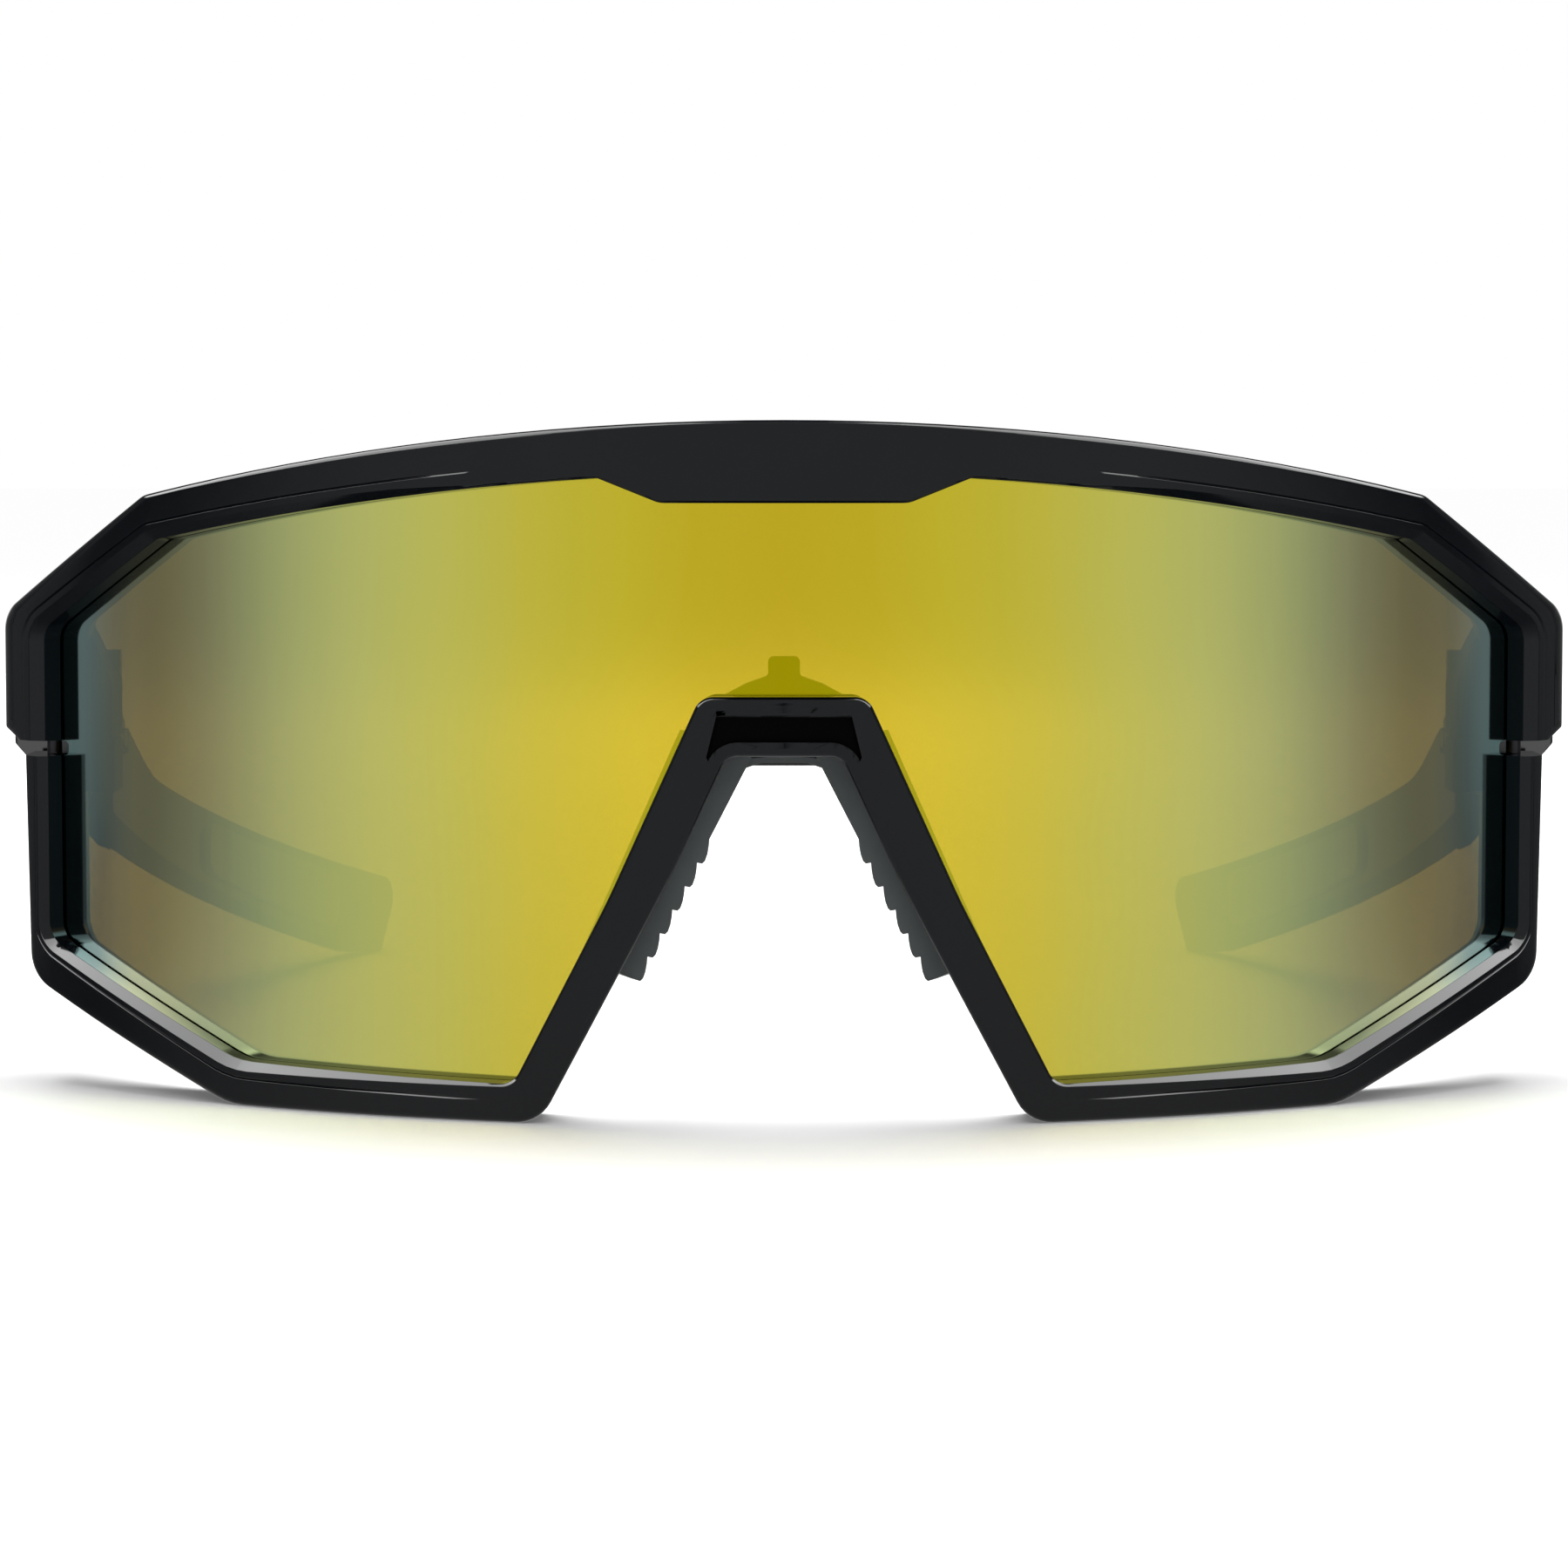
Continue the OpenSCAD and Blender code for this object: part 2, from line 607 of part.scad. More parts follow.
module temple_leaf(left) color([0.6, 0.61, 0.63]) placed() on_side(left) difference() {
    union() {
        translate([hinge_x, hinge_y, barrel_low]) cylinder(r = eye_r - 0.1, h = barrel_h);
        slab(inner_x + 0.1, inner_x + 0.1 + leaf_t, hinge_y, hinge_y + leaf_l, barrel_low, barrel_low + barrel_h);
    }
    translate([hinge_x, hinge_y, 0]) cylinder(r = shaft_r, h = over);
    for (y = leaf_screw_y)
        translate([inner_x - 1, y, hinge_z]) rotate([0, 90, 0]) cylinder(r = 0.5 + run_gap, h = 5);
}

module leaf_screws(left) color([0.75, 0.76, 0.78]) placed() on_side(left)
    for (y = leaf_screw_y)
        translate([inner_x + 0.1, y, hinge_z]) rotate([0, -90, 0]) small_screw(0.5, 3.2, 0.95, 0.35);

module ear_grip(left) color([0.2, 0.21, 0.22]) placed() on_side(left) grip_band(0);

brow_frame();
lens();
lower_frame();
jaw_pins();
nose_carrier();
nose_pad();
hinge_bracket(true);  // left_hinge_bracket
hinge_bracket(false);  // right_hinge_bracket
bracket_screws();
hinge_screw(true);  // left_hinge_screw
hinge_screw(false);  // right_hinge_screw
hinge_washers(true);  // left_hinge_washers
hinge_washers(false);  // right_hinge_washers
temple_arm(true);  // left_temple_arm
temple_arm(false);  // right_temple_arm
temple_leaf(true);  // left_temple_leaf
temple_leaf(false);  // right_temple_leaf
leaf_screws(true);  // left_leaf_screws
leaf_screws(false);  // right_leaf_screws
ear_grip(true);  // left_ear_grip
ear_grip(false);  // right_ear_grip
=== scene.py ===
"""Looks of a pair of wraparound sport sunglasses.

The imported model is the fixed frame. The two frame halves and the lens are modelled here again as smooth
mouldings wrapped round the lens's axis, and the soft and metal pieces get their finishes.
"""

from __future__ import annotations

import logging
import math
from dataclasses import dataclass, field
from enum import Enum, IntEnum
from typing import Callable, Iterable, Sequence

import bmesh
import bpy
from mathutils import Matrix, Vector

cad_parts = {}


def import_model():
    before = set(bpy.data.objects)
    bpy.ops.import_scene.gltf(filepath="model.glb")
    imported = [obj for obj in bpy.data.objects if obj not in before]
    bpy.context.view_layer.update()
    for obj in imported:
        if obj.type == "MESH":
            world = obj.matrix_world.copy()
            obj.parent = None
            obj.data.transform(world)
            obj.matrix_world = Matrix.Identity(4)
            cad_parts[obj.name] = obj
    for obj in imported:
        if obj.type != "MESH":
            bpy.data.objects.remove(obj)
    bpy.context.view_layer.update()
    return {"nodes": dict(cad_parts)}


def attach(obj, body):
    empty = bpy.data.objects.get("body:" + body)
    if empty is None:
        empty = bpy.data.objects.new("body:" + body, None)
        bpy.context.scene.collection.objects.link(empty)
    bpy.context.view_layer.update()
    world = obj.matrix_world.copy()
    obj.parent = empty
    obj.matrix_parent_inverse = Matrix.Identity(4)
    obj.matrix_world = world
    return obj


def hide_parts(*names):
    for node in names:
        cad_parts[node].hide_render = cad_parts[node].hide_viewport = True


LOG = logging.getLogger("sunglasses")
MM = 0.001
SHARP_ANGLE = math.radians(38.0)
WHITE = (1.0, 1.0, 1.0, 1.0)
Colour = tuple[float, float, float]
Place = tuple[float, float, float]
Corner = tuple[float, float, float]  # across, up and radius
Point = tuple[float, float]


class Side(Enum):
    """The wearer's side that a piece belongs to, as its sign along X."""

    LEFT = 1
    RIGHT = -1

    def node(self, part: str) -> str:
        """Name of this side's node of a part that both sides have."""
        return f"{self.name.lower()}_{part}"


class Slot(IntEnum):
    """Material slots of the frame's two mouldings."""

    FACE = 0
    # The walls beside the lens: a less reflective copy of the moulding, as painted shade.
    WALL = 1
    # The bridge's hollow and the hinge blocks: near-black, as painted shade.
    SHADED_HOLLOW = 2


# ---- shader nodes ----


class Wire:
    """A shader value that takes part in Python arithmetic."""

    def __init__(self, recipe: "Recipe", socket: bpy.types.NodeSocket) -> None:
        """Keeps the recipe that the value belongs to and the socket that gives it."""
        self.recipe = recipe
        self.socket = socket

    def _math(self, operation: str, *values: "Wire | float") -> "Wire":
        """Adds a Math node.

        Args:
            operation: The Math node's operation.
            values: Its inputs, in order.

        Returns:
            The node's result.
        """
        return self.recipe.node("ShaderNodeMath", {"operation": operation}, dict(enumerate(values)))

    def __add__(self, other: "Wire | float") -> "Wire":
        """Sum of two values."""
        return self._math("ADD", self, other)

    def __radd__(self, other: float) -> "Wire":
        """Sum with a number on the left."""
        return self._math("ADD", other, self)

    def __sub__(self, other: "Wire | float") -> "Wire":
        """Difference of two values."""
        return self._math("SUBTRACT", self, other)

    def __rsub__(self, other: float) -> "Wire":
        """Difference from a number on the left."""
        return self._math("SUBTRACT", other, self)

    def __mul__(self, other: "Wire | float") -> "Wire":
        """Product of two values."""
        return self._math("MULTIPLY", self, other)

    def __rmul__(self, other: float) -> "Wire":
        """Product with a number on the left."""
        return self._math("MULTIPLY", other, self)

    def __truediv__(self, other: "Wire | float") -> "Wire":
        """Quotient of two values."""
        return self._math("DIVIDE", self, other)

    def root(self) -> "Wire":
        """Square root of the value."""
        return self._math("SQRT", self)

    def absolute(self) -> "Wire":
        """The value without its sign."""
        return self._math("ABSOLUTE", self)

    def largest(self, other: "Wire | float") -> "Wire":
        """The larger of two values."""
        return self._math("MAXIMUM", self, other)

    def eased(self, low: float, high: float) -> "Wire":
        """A smooth step from 0 at low to 1 at high.

        Args:
            low: Value at which the step starts.
            high: Value at which it ends.

        Returns:
            The stepped value.
        """
        return self.recipe.node(
            "ShaderNodeMapRange",
            {"interpolation_type": "SMOOTHSTEP"},
            {"Value": self, "From Min": low, "From Max": high, "To Min": 0.0, "To Max": 1.0},
        )


class Recipe:
    """The node tree of one material or of the world."""

    def __init__(self, tree: bpy.types.NodeTree) -> None:
        """Empties the tree and keeps it."""
        self.tree = tree
        tree.nodes.clear()

    def node(
        self,
        kind: str,
        settings: dict[str, object] | None = None,
        inputs: dict[int | str, object] | None = None,
        output: int | str = 0,
    ) -> Wire:
        """Adds one node.

        Args:
            kind: The node's type name.
            settings: Its properties, set first. "stops" holds a ramp's (place, colour) pairs.
            inputs: Values or wires by socket name or number.
            output: The socket to give back.

        Returns:
            The wire of that output.
        """
        made = self.tree.nodes.new(kind)
        for name, value in (settings or {}).items():
            if name == "stops":
                self._fill_ramp(made.color_ramp, value)
            else:
                setattr(made, name, value)
        for name, value in (inputs or {}).items():
            socket = made.inputs[name]
            if isinstance(value, Wire):
                self.tree.links.new(value.socket, socket)
            else:
                socket.default_value = value
        return Wire(self, made.outputs[output]) if len(made.outputs) else Wire(self, None)

    @staticmethod
    def _fill_ramp(ramp: bpy.types.ColorRamp, stops: Sequence[tuple[float, Colour]]) -> None:
        """Writes a ramp's stops over the two that it starts with."""
        while len(ramp.elements) < len(stops):
            ramp.elements.new(1.0)
        for element, (place, colour) in zip(ramp.elements, stops):
            element.position = place
            element.color = (*colour, 1.0)

    def place(self) -> Wire:
        """Object coordinates, in metres."""
        return self.node("ShaderNodeTexCoord", output="Object")

    def noise(self, size_mm: float, detail: float = 2.0, where: Wire | None = None) -> Wire:
        """Noise of one grain size.

        Args:
            size_mm: Size of a grain, in millimetres.
            detail: Number of finer layers.
            where: Coordinates, or none for the object's own.

        Returns:
            A value near 0.5.
        """
        return self.node(
            "ShaderNodeTexNoise",
            {},
            {"Vector": where or self.place(), "Scale": 1000.0 / size_mm, "Detail": detail, "Roughness": 0.55},
        )

    def blended(self, share: Wire | float, first: object, second: object) -> Wire:
        """Mixes two colours.

        Args:
            share: How much of the second shows.
            first: Colour or wire.
            second: Colour or wire.

        Returns:
            The mixed colour.
        """
        pair = [(*c, 1.0) if isinstance(c, tuple) and len(c) == 3 else c for c in (first, second)]
        return self.node(
            "ShaderNodeMix", {"data_type": "RGBA"}, {0: share, 6: pair[0], 7: pair[1]}, output=2
        )

    def bump(self, height: Wire, strength: float, distance_mm: float) -> Wire:
        """A normal bent by a height.

        Args:
            height: Height from 0 to 1.
            strength: Strength of the effect.
            distance_mm: Real height of 1, in millimetres.

        Returns:
            The normal.
        """
        return self.node(
            "ShaderNodeBump", {}, {"Height": height, "Strength": strength, "Distance": distance_mm * MM}
        )

    def principled(self, inputs: dict[str, object]) -> Wire:
        """A Principled shader with these inputs."""
        return self.node("ShaderNodeBsdfPrincipled", {}, inputs)

    def finish(self, surface: Wire, kind: str = "ShaderNodeOutputMaterial") -> None:
        """Joins a shader to the output."""
        self.node(kind, {}, {"Surface": surface})


def scaled(colour: Colour, share: float) -> Colour:
    """A colour made darker or paler by one share."""
    return tuple(c * share for c in colour)


def new_material(name: str) -> tuple[bpy.types.Material, Recipe]:
    """Makes an empty node material.

    Args:
        name: Its name.

    Returns:
        The material and the recipe that fills it.
    """
    material = bpy.data.materials.new(name)
    material.use_nodes = True
    return material, Recipe(material.node_tree)


# ---- finishes ----


@dataclass(frozen=True)
class GlossMoulding:
    """Polished black nylon, with the faint waviness of a moulding and a few dulled patches."""

    name: str = "gloss_black_moulding"
    deep: Colour = (0.0018, 0.0024, 0.0034)
    pale: Colour = (0.0032, 0.0042, 0.0060)
    gloss: float = 0.05
    shine: float = 0.2
    wave_mm: float = 9.0
    speck_mm: float = 0.35
    dulled: float = 0.05
    relief: Point = (0.08, 0.25)

    def material(self) -> bpy.types.Material:
        """Builds the material."""
        material, r = new_material(self.name)
        wave = r.noise(self.wave_mm, 1.0)
        speck = r.noise(self.speck_mm, 3.0)
        inputs = {
            "Base Color": r.blended(wave, self.deep, self.pale),
            "Roughness": self.gloss + self.dulled * speck * wave,
            "Specular IOR Level": self.shine,
            "Normal": r.bump(wave * 0.8 + speck * 0.01, *self.relief),
        }
        r.finish(r.principled(inputs))
        return material


@dataclass(frozen=True)
class MirrorCoat:
    """The lens's front: a mirror coating that turns from gold to green to blue towards the sides, painted by
    distance from the middle, partly the coating's own hue and partly painted reflection.

    see_through holds the clear share in the middle and at the sides, and fade where it changes.
    """

    name: str = "mirror_coat_and_painted_reflection"
    half_width_mm: float = 68.0
    see_through: Point = (0.30, 0.075)
    fade: Point = (0.1, 0.5)
    ripple_mm: float = 14.0
    ripple_shift: float = 0.03
    fine_mm: float = 0.6
    gloss: Point = (0.07, 0.03)
    relief: Point = (0.015, 0.4)
    tint: Colour = (0.65, 0.40, 0.06)
    # Stops of painted reflection by distance from the middle: the coating's gold-to-blue hue together with
    # the brightness of its reflection, which changes with angle; the pale stops from 0.83 to 0.91 paint a
    # brighter reflection near the sides.
    stops: tuple[tuple[float, Colour], ...] = (
        (0.00, (0.463, 0.392, 0.002)),
        (0.11, (0.458, 0.411, 0.004)),
        (0.20, (0.478, 0.449, 0.018)),
        (0.28, (0.474, 0.453, 0.035)),
        (0.335, (0.483, 0.460, 0.051)),
        (0.393, (0.465, 0.465, 0.076)),
        (0.497, (0.456, 0.479, 0.121)),
        (0.603, (0.460, 0.523, 0.186)),
        (0.657, (0.473, 0.556, 0.231)),
        (0.713, (0.480, 0.573, 0.287)),
        (0.769, (0.525, 0.600, 0.350)),
        (0.827, (0.650, 0.700, 0.420)),
        (0.880, (0.700, 0.760, 0.500)),
        (0.907, (0.580, 0.680, 0.540)),
        (0.935, (0.360, 0.500, 0.470)),
        (1.00, (0.220, 0.430, 0.440)),
    )

    def material(self) -> bpy.types.Material:
        """Builds the material."""
        material, r = new_material(self.name)
        across = r.node("ShaderNodeSeparateXYZ", {}, {0: r.place()}, output=0).absolute()
        ripple = r.noise(self.ripple_mm, 1.0) - 0.5
        where = across / (self.half_width_mm * MM) + ripple * self.ripple_shift
        inputs = {
            # Base colour by distance from the middle: the coating's hue with painted reflection.
            "Base Color": r.node("ShaderNodeValToRGB", {"stops": self.stops}, {0: where}),
            "Metallic": 1.0,
            "Roughness": self.gloss[0] + self.gloss[1] * r.noise(self.fine_mm),
            "Normal": r.bump(ripple + 0.5, *self.relief),
        }
        mirror = r.principled(inputs)
        clear = r.node("ShaderNodeBsdfTransparent", {}, {"Color": (*self.tint, 1.0)})
        middle, side = self.see_through
        share = (1 - middle) + where.eased(*self.fade) * (middle - side)
        r.finish(r.node("ShaderNodeMixShader", {}, {0: share, 1: clear, 2: mirror}))
        return material


@dataclass(frozen=True)
class SmokedBack:
    """The lens's back and edges: clear glossy plastic over a smoked body."""

    name: str = "smoked_back"
    body: Colour = (0.030, 0.018, 0.010)
    tint: Colour = (1.0, 0.98, 0.95)
    see_through: float = 0.9
    fine_mm: float = 0.8
    wave_mm: float = 12.0
    gloss: Point = (0.05, 0.04)
    relief: Point = (0.05, 0.3)

    def material(self) -> bpy.types.Material:
        """Builds the material."""
        material, r = new_material(self.name)
        fine = r.noise(self.fine_mm)
        inputs = {
            "Base Color": r.blended(fine, self.body, scaled(self.body, 1.4)),
            "Roughness": self.gloss[0] + self.gloss[1] * fine,
            "Normal": r.bump(r.noise(self.wave_mm, 1.0), *self.relief),
        }
        plastic = r.principled(inputs)
        clear = r.node("ShaderNodeBsdfTransparent", {}, {"Color": (*self.tint, 1.0)})
        r.finish(r.node("ShaderNodeMixShader", {}, {0: 1 - self.see_through, 1: clear, 2: plastic}))
        return material


@dataclass(frozen=True)
class SoftRubber:
    """Matt moulded elastomer with a fine grain and paler clouds at random."""

    name: str = "soft_rubber"
    dark: Colour = (0.040, 0.047, 0.049)
    pale: Colour = (0.075, 0.086, 0.089)
    grain_mm: float = 0.22
    cloud_mm: float = 5.0
    rough: Point = (0.55, 0.2)
    sheen: float = 0.6
    relief: Point = (0.25, 0.03)

    def material(self) -> bpy.types.Material:
        """Builds the material."""
        material, r = new_material(self.name)
        grain = r.noise(self.grain_mm, 3.0)
        cloud = r.noise(self.cloud_mm)
        inputs = {
            "Base Color": r.blended(cloud * 0.7 + grain * 0.3, self.dark, self.pale),
            "Roughness": self.rough[0] + self.rough[1] * grain,
            "Specular IOR Level": 0.4,
            "Sheen Weight": self.sheen,
            "Normal": r.bump(grain, *self.relief),
        }
        r.finish(r.principled(inputs))
        return material


@dataclass(frozen=True)
class SatinSteel:
    """Stainless steel with fine draw lines along one axis."""

    name: str = "satin_steel"
    colour: Colour = (0.52, 0.53, 0.55)
    rough: float = 0.24
    lines_mm: Place = (0.05, 0.05, 1.5)
    worn_mm: float = 1.2
    lines_rough: float = 0.14
    relief: Point = (0.15, 0.01)

    def material(self) -> bpy.types.Material:
        """Builds the material."""
        material, r = new_material(self.name)
        grain_mm = 0.1
        scale = tuple(grain_mm / size for size in self.lines_mm)
        stretched = r.node("ShaderNodeMapping", {}, {"Vector": r.place(), "Scale": scale})
        lines = r.noise(grain_mm, where=stretched)
        inputs = {
            "Base Color": r.blended(r.noise(self.worn_mm), self.colour, scaled(self.colour, 0.72)),
            "Metallic": 1.0,
            "Roughness": self.rough + self.lines_rough * lines,
            "Normal": r.bump(lines, *self.relief),
        }
        r.finish(r.principled(inputs))
        return material


@dataclass(frozen=True)
class PlainNylon:
    """Milky unpainted nylon of the hinge washers."""

    name: str = "plain_nylon"
    colour: Colour = (0.62, 0.61, 0.57)
    cloud_mm: float = 0.8
    rough: Point = (0.4, 0.1)
    relief: Point = (0.1, 0.02)

    def material(self) -> bpy.types.Material:
        """Builds the material."""
        material, r = new_material(self.name)
        cloud = r.noise(self.cloud_mm)
        inputs = {
            "Base Color": r.blended(cloud, self.colour, scaled(self.colour, 0.8)),
            "Roughness": self.rough[0] + self.rough[1] * cloud,
            "Normal": r.bump(cloud, *self.relief),
        }
        r.finish(r.principled(inputs))
        return material


@dataclass(frozen=True)
class SatinPlastic:
    """Fine-sparked black plastic of the nose carrier."""

    name: str = "satin_black_plastic"
    colour: Colour = (0.012, 0.013, 0.014)
    grain_mm: float = 0.12
    rough: Point = (0.38, 0.12)
    shine: float = 0.35
    relief: Point = (0.2, 0.02)

    def material(self) -> bpy.types.Material:
        """Builds the material."""
        material, r = new_material(self.name)
        grain = r.noise(self.grain_mm)
        inputs = {
            "Base Color": r.blended(grain, self.colour, scaled(self.colour, 1.6)),
            "Roughness": self.rough[0] + self.rough[1] * grain,
            "Specular IOR Level": self.shine,
            "Normal": r.bump(grain, *self.relief),
        }
        r.finish(r.principled(inputs))
        return material


# ---- outlines and the wrap ----


def rounded(path: Sequence[Corner], closed: bool = True, step: float = 9.0, steps: int = 0) -> list[Point]:
    """Rounds the corners of a path.

    Args:
        path: Corners as (across, up, radius).
        closed: Whether the last corner joins the first.
        step: Largest turn between two points of an arc, in degrees.
        steps: Number of sides of every arc, or 0 to follow the step.

    Returns:
        The points of the rounded path.
    """
    points: list[Point] = []
    count = len(path)
    for i, (x, z, radius) in enumerate(path):
        here = Vector((x, z))
        if radius <= 0 or (not closed and i in (0, count - 1)):
            points.append((x, z))
            continue
        before = (Vector(path[i - 1][:2]) - here).normalized()
        after = (Vector(path[(i + 1) % count][:2]) - here).normalized()
        half = math.acos(max(-1.0, min(1.0, before.dot(after)))) / 2
        if math.degrees(half) > 89:
            points.append((x, z))
            continue
        middle = here + (before + after).normalized() * radius / math.sin(half)
        start = here + before * radius / math.tan(half) - middle
        finish = here + after * radius / math.tan(half) - middle
        turn = math.pi - 2 * half
        sides = steps or max(2, math.ceil(math.degrees(turn) / step))
        way = 1 if start.cross(finish) > 0 else -1
        for k in range(sides + 1):
            spun = Matrix.Rotation(way * turn * k / sides, 2) @ start
            points.append((middle.x + spun.x, middle.y + spun.y))
    return points


def mirror_image(half: Sequence[Corner]) -> list[Corner]:
    """The corners of a path's other half, in the order that carries the path on."""
    return [(-x, z, radius) for x, z, radius in reversed(half) if x > 0]


def share_past(value: float, start: float, run: float) -> float:
    """0 up to a start, and from there evenly up to 1 over a run."""
    return max(0.0, min(1.0, (value - start) / run))


def outward(points: Sequence[Point], closed: bool) -> list[Vector]:
    """For each point of a path, the move that shifts the path by one to its right.

    Args:
        points: The path.
        closed: Whether it is closed. The ends of an open path slide along X.

    Returns:
        One move for each point.
    """
    count = len(points)
    moves: list[Vector] = []
    for i, here in enumerate(points):
        p = Vector(here)
        sides = []
        if closed or i > 0:
            sides.append((p - Vector(points[i - 1])).normalized())
        if closed or i < count - 1:
            sides.append((Vector(points[(i + 1) % count]) - p).normalized())
        normals = [Vector((s.y, -s.x)) for s in sides]
        if len(normals) == 1:
            moves.append(Vector((1 / normals[0].x, 0.0)))
        else:
            moves.append((normals[0] + normals[1]) / (1 + normals[0].dot(normals[1])))
    return moves


@dataclass(frozen=True)
class Wrap:
    """The cylinder that the front is wrapped round. Sizes are in millimetres."""

    lens_r: float = 88.0
    proud: float = 2.8
    behind: float = 4.4
    overall_d: float = 151.0

    @property
    def shift(self) -> float:
        """World Y of the lens's foremost line."""
        return self.proud - self.overall_d / 2

    def bent(self, x: float, depth: float, z: float, radial: float) -> Vector:
        """Puts a point of the flat front in place.

        Args:
            x: Distance from the middle.
            depth: Distance behind the frame's face.
            z: Height.
            radial: 1 where the wall points at the lens's axis, and 0 where it runs straight back.

        Returns:
            The point in the row frame, in metres.
        """
        r = self.lens_r + self.proud - depth
        across = x * (1 + radial * (r / self.lens_r - 1))
        back = self.lens_r - math.sqrt(max(r * r - across * across, 1.0))
        return Vector((across, back + self.shift, z)) * MM


@dataclass(frozen=True)
class Rounds:
    """Corner radii of the front's outlines, in millimetres."""

    small: float = 0.4
    brow_end: float = 3.0
    shoulder: float = 2.2
    bridge: float = 1.6
    leg: float = 60.0
    leg_foot: float = 3.6
    rim: float = 6.0
    post: float = 3.5
    window_bridge: float = 1.7
    window_nose: float = 1.8
    window_side: float = 2.4
    window_shoulder: float = 1.2
    brow_bump: float = 2.2


@dataclass(frozen=True)
class FrontShape:
    """Sizes and outlines of the front, in millimetres."""

    front_w: float = 147.0
    front_h: float = 61.4
    end_depth: float = 5.0
    brow_r: float = 255.0
    brow_h: float = 4.55
    bump_w: float = 21.0
    bump_drop: float = 2.4
    bump_slope: float = 5.2
    shoulder_w: float = 15.5
    shoulder_drop: float = 11.25
    shoulder_in: float = 2.4
    shoulder_low: float = 1.25
    crest_gap: float = 4.0
    window_gap: float = 5.0
    side_w: float = 6.1
    slit_z: float = 30.3
    slit_h: float = 1.4
    post_inset: float = 2.9
    post_foot_in: float = 0.1
    post_top_out: float = 0.35
    rim_h: float = 3.5
    rim_nose_drop: float = 0.1
    rim_corner_rise: float = 0.5
    corner_w: float = 21.1
    corner_h: float = 9.7
    corner_in: float = 0.5
    corner_lap: float = 1.2
    corner_rise: float = 3.7
    nose_half: float = 21.4
    nose_lap: float = 1.8
    bridge_z: float = 32.3
    bridge_h: float = 5.2
    bridge_half: float = 5.0
    bridge_lap: float = 2.1
    leg_w: float = 4.5
    leg_run: float = 4.95
    leg_bend: float = 10.7
    leg_swell: float = 0.6
    window_bend: float = 12.7
    foot: float = 1.9
    rounds: Rounds = field(default_factory=Rounds)
    wrap: Wrap = field(default_factory=Wrap)

    @property
    def end_x(self) -> float:
        """Half of the width."""
        return self.front_w / 2

    @property
    def post_x(self) -> float:
        """X of the lower frame's side."""
        return self.end_x - self.post_inset

    @property
    def window_x(self) -> float:
        """X of the opening's side."""
        return self.end_x - self.side_w

    @property
    def slit_top(self) -> float:
        """Upper edge of the slit between the two frames."""
        return self.slit_z + self.slit_h

    @property
    def end_y(self) -> float:
        """Depth of the back of the brow's ends behind the lens's foremost line."""
        face = self.wrap.lens_r + self.wrap.proud
        return self.wrap.lens_r - math.sqrt(face**2 - self.end_x**2) + self.end_depth

    @property
    def shoulder_x(self) -> float:
        """X of the upper end of the sloping shoulder."""
        return self.end_x - self.shoulder_w

    @property
    def shoulder_z(self) -> float:
        """Height of the lower end of the sloping shoulder."""
        return self.crest(self.shoulder_x) - self.shoulder_drop

    def crest(self, x: float, below: float = 0.0) -> float:
        """Height of the brow's crest line at x, or of a line parallel to it."""
        return self.front_h - below - (self.brow_r - math.sqrt(self.brow_r**2 - x * x))

    def brow_line(self, x0: float, x1: float, below: float, steps: int) -> list[Corner]:
        """Corners along the crest line, or along a line parallel to it."""
        xs = [x0 + (x1 - x0) * i / steps for i in range(steps + 1)]
        return [(x, self.crest(x, below), 0.0) for x in xs]

    def brow_outside(self) -> list[Point]:
        """Outer edge of the brow, from the left foot over the top to the right foot."""
        turn = self.rounds
        half = [
            (self.end_x - self.foot, self.slit_top, 0.0),
            (self.end_x, self.slit_top + self.foot * 0.5, turn.small),
            (self.end_x, self.shoulder_z, turn.brow_end),
            (self.shoulder_x, self.crest(self.shoulder_x), turn.shoulder),
            *self.brow_line(self.shoulder_x - self.crest_gap, 0.0, 0.0, 16),
        ]
        return rounded([*half, *mirror_image(half)], closed=False)

    def lower_outside(self) -> list[Point]:
        """Outer edge of the lower frame, from the right post round the nose to the left post."""
        turn = self.rounds
        half = [
            (0.0, self.bridge_z, 0.0),
            (self.bridge_half, self.bridge_z, turn.bridge),
            (self.bridge_half + self.leg_run, self.bridge_z - self.leg_bend, turn.leg),
            (self.nose_half, 0.0, turn.leg_foot),
            (self.post_x - self.corner_w + self.corner_in, 0.0, turn.rim),
            (self.post_x - self.post_foot_in, self.corner_h, turn.post),
            (self.post_x + self.post_top_out, self.slit_z, 0.0),
        ]
        return rounded([*mirror_image(half), *half], closed=False)

    def window_low(self) -> list[Corner]:
        """Corners of the opening's edge on the lower frame, from the bridge's middle to the left post."""
        turn, leg_x = self.rounds, self.bridge_half + self.leg_run + self.leg_w
        return [
            (0.0, self.bridge_z + self.bridge_h, 0.0),
            (self.bridge_half + self.bridge_lap, self.bridge_z + self.bridge_h, turn.window_bridge),
            (leg_x + self.leg_swell, self.bridge_z - self.window_bend, turn.leg),
            (self.nose_half + self.nose_lap, self.rim_h - self.rim_nose_drop, turn.window_nose),
            (self.post_x - self.corner_w - self.corner_lap, self.rim_h + self.rim_corner_rise, turn.rim),
            (self.window_x, self.corner_h + self.corner_rise, turn.window_side),
        ]

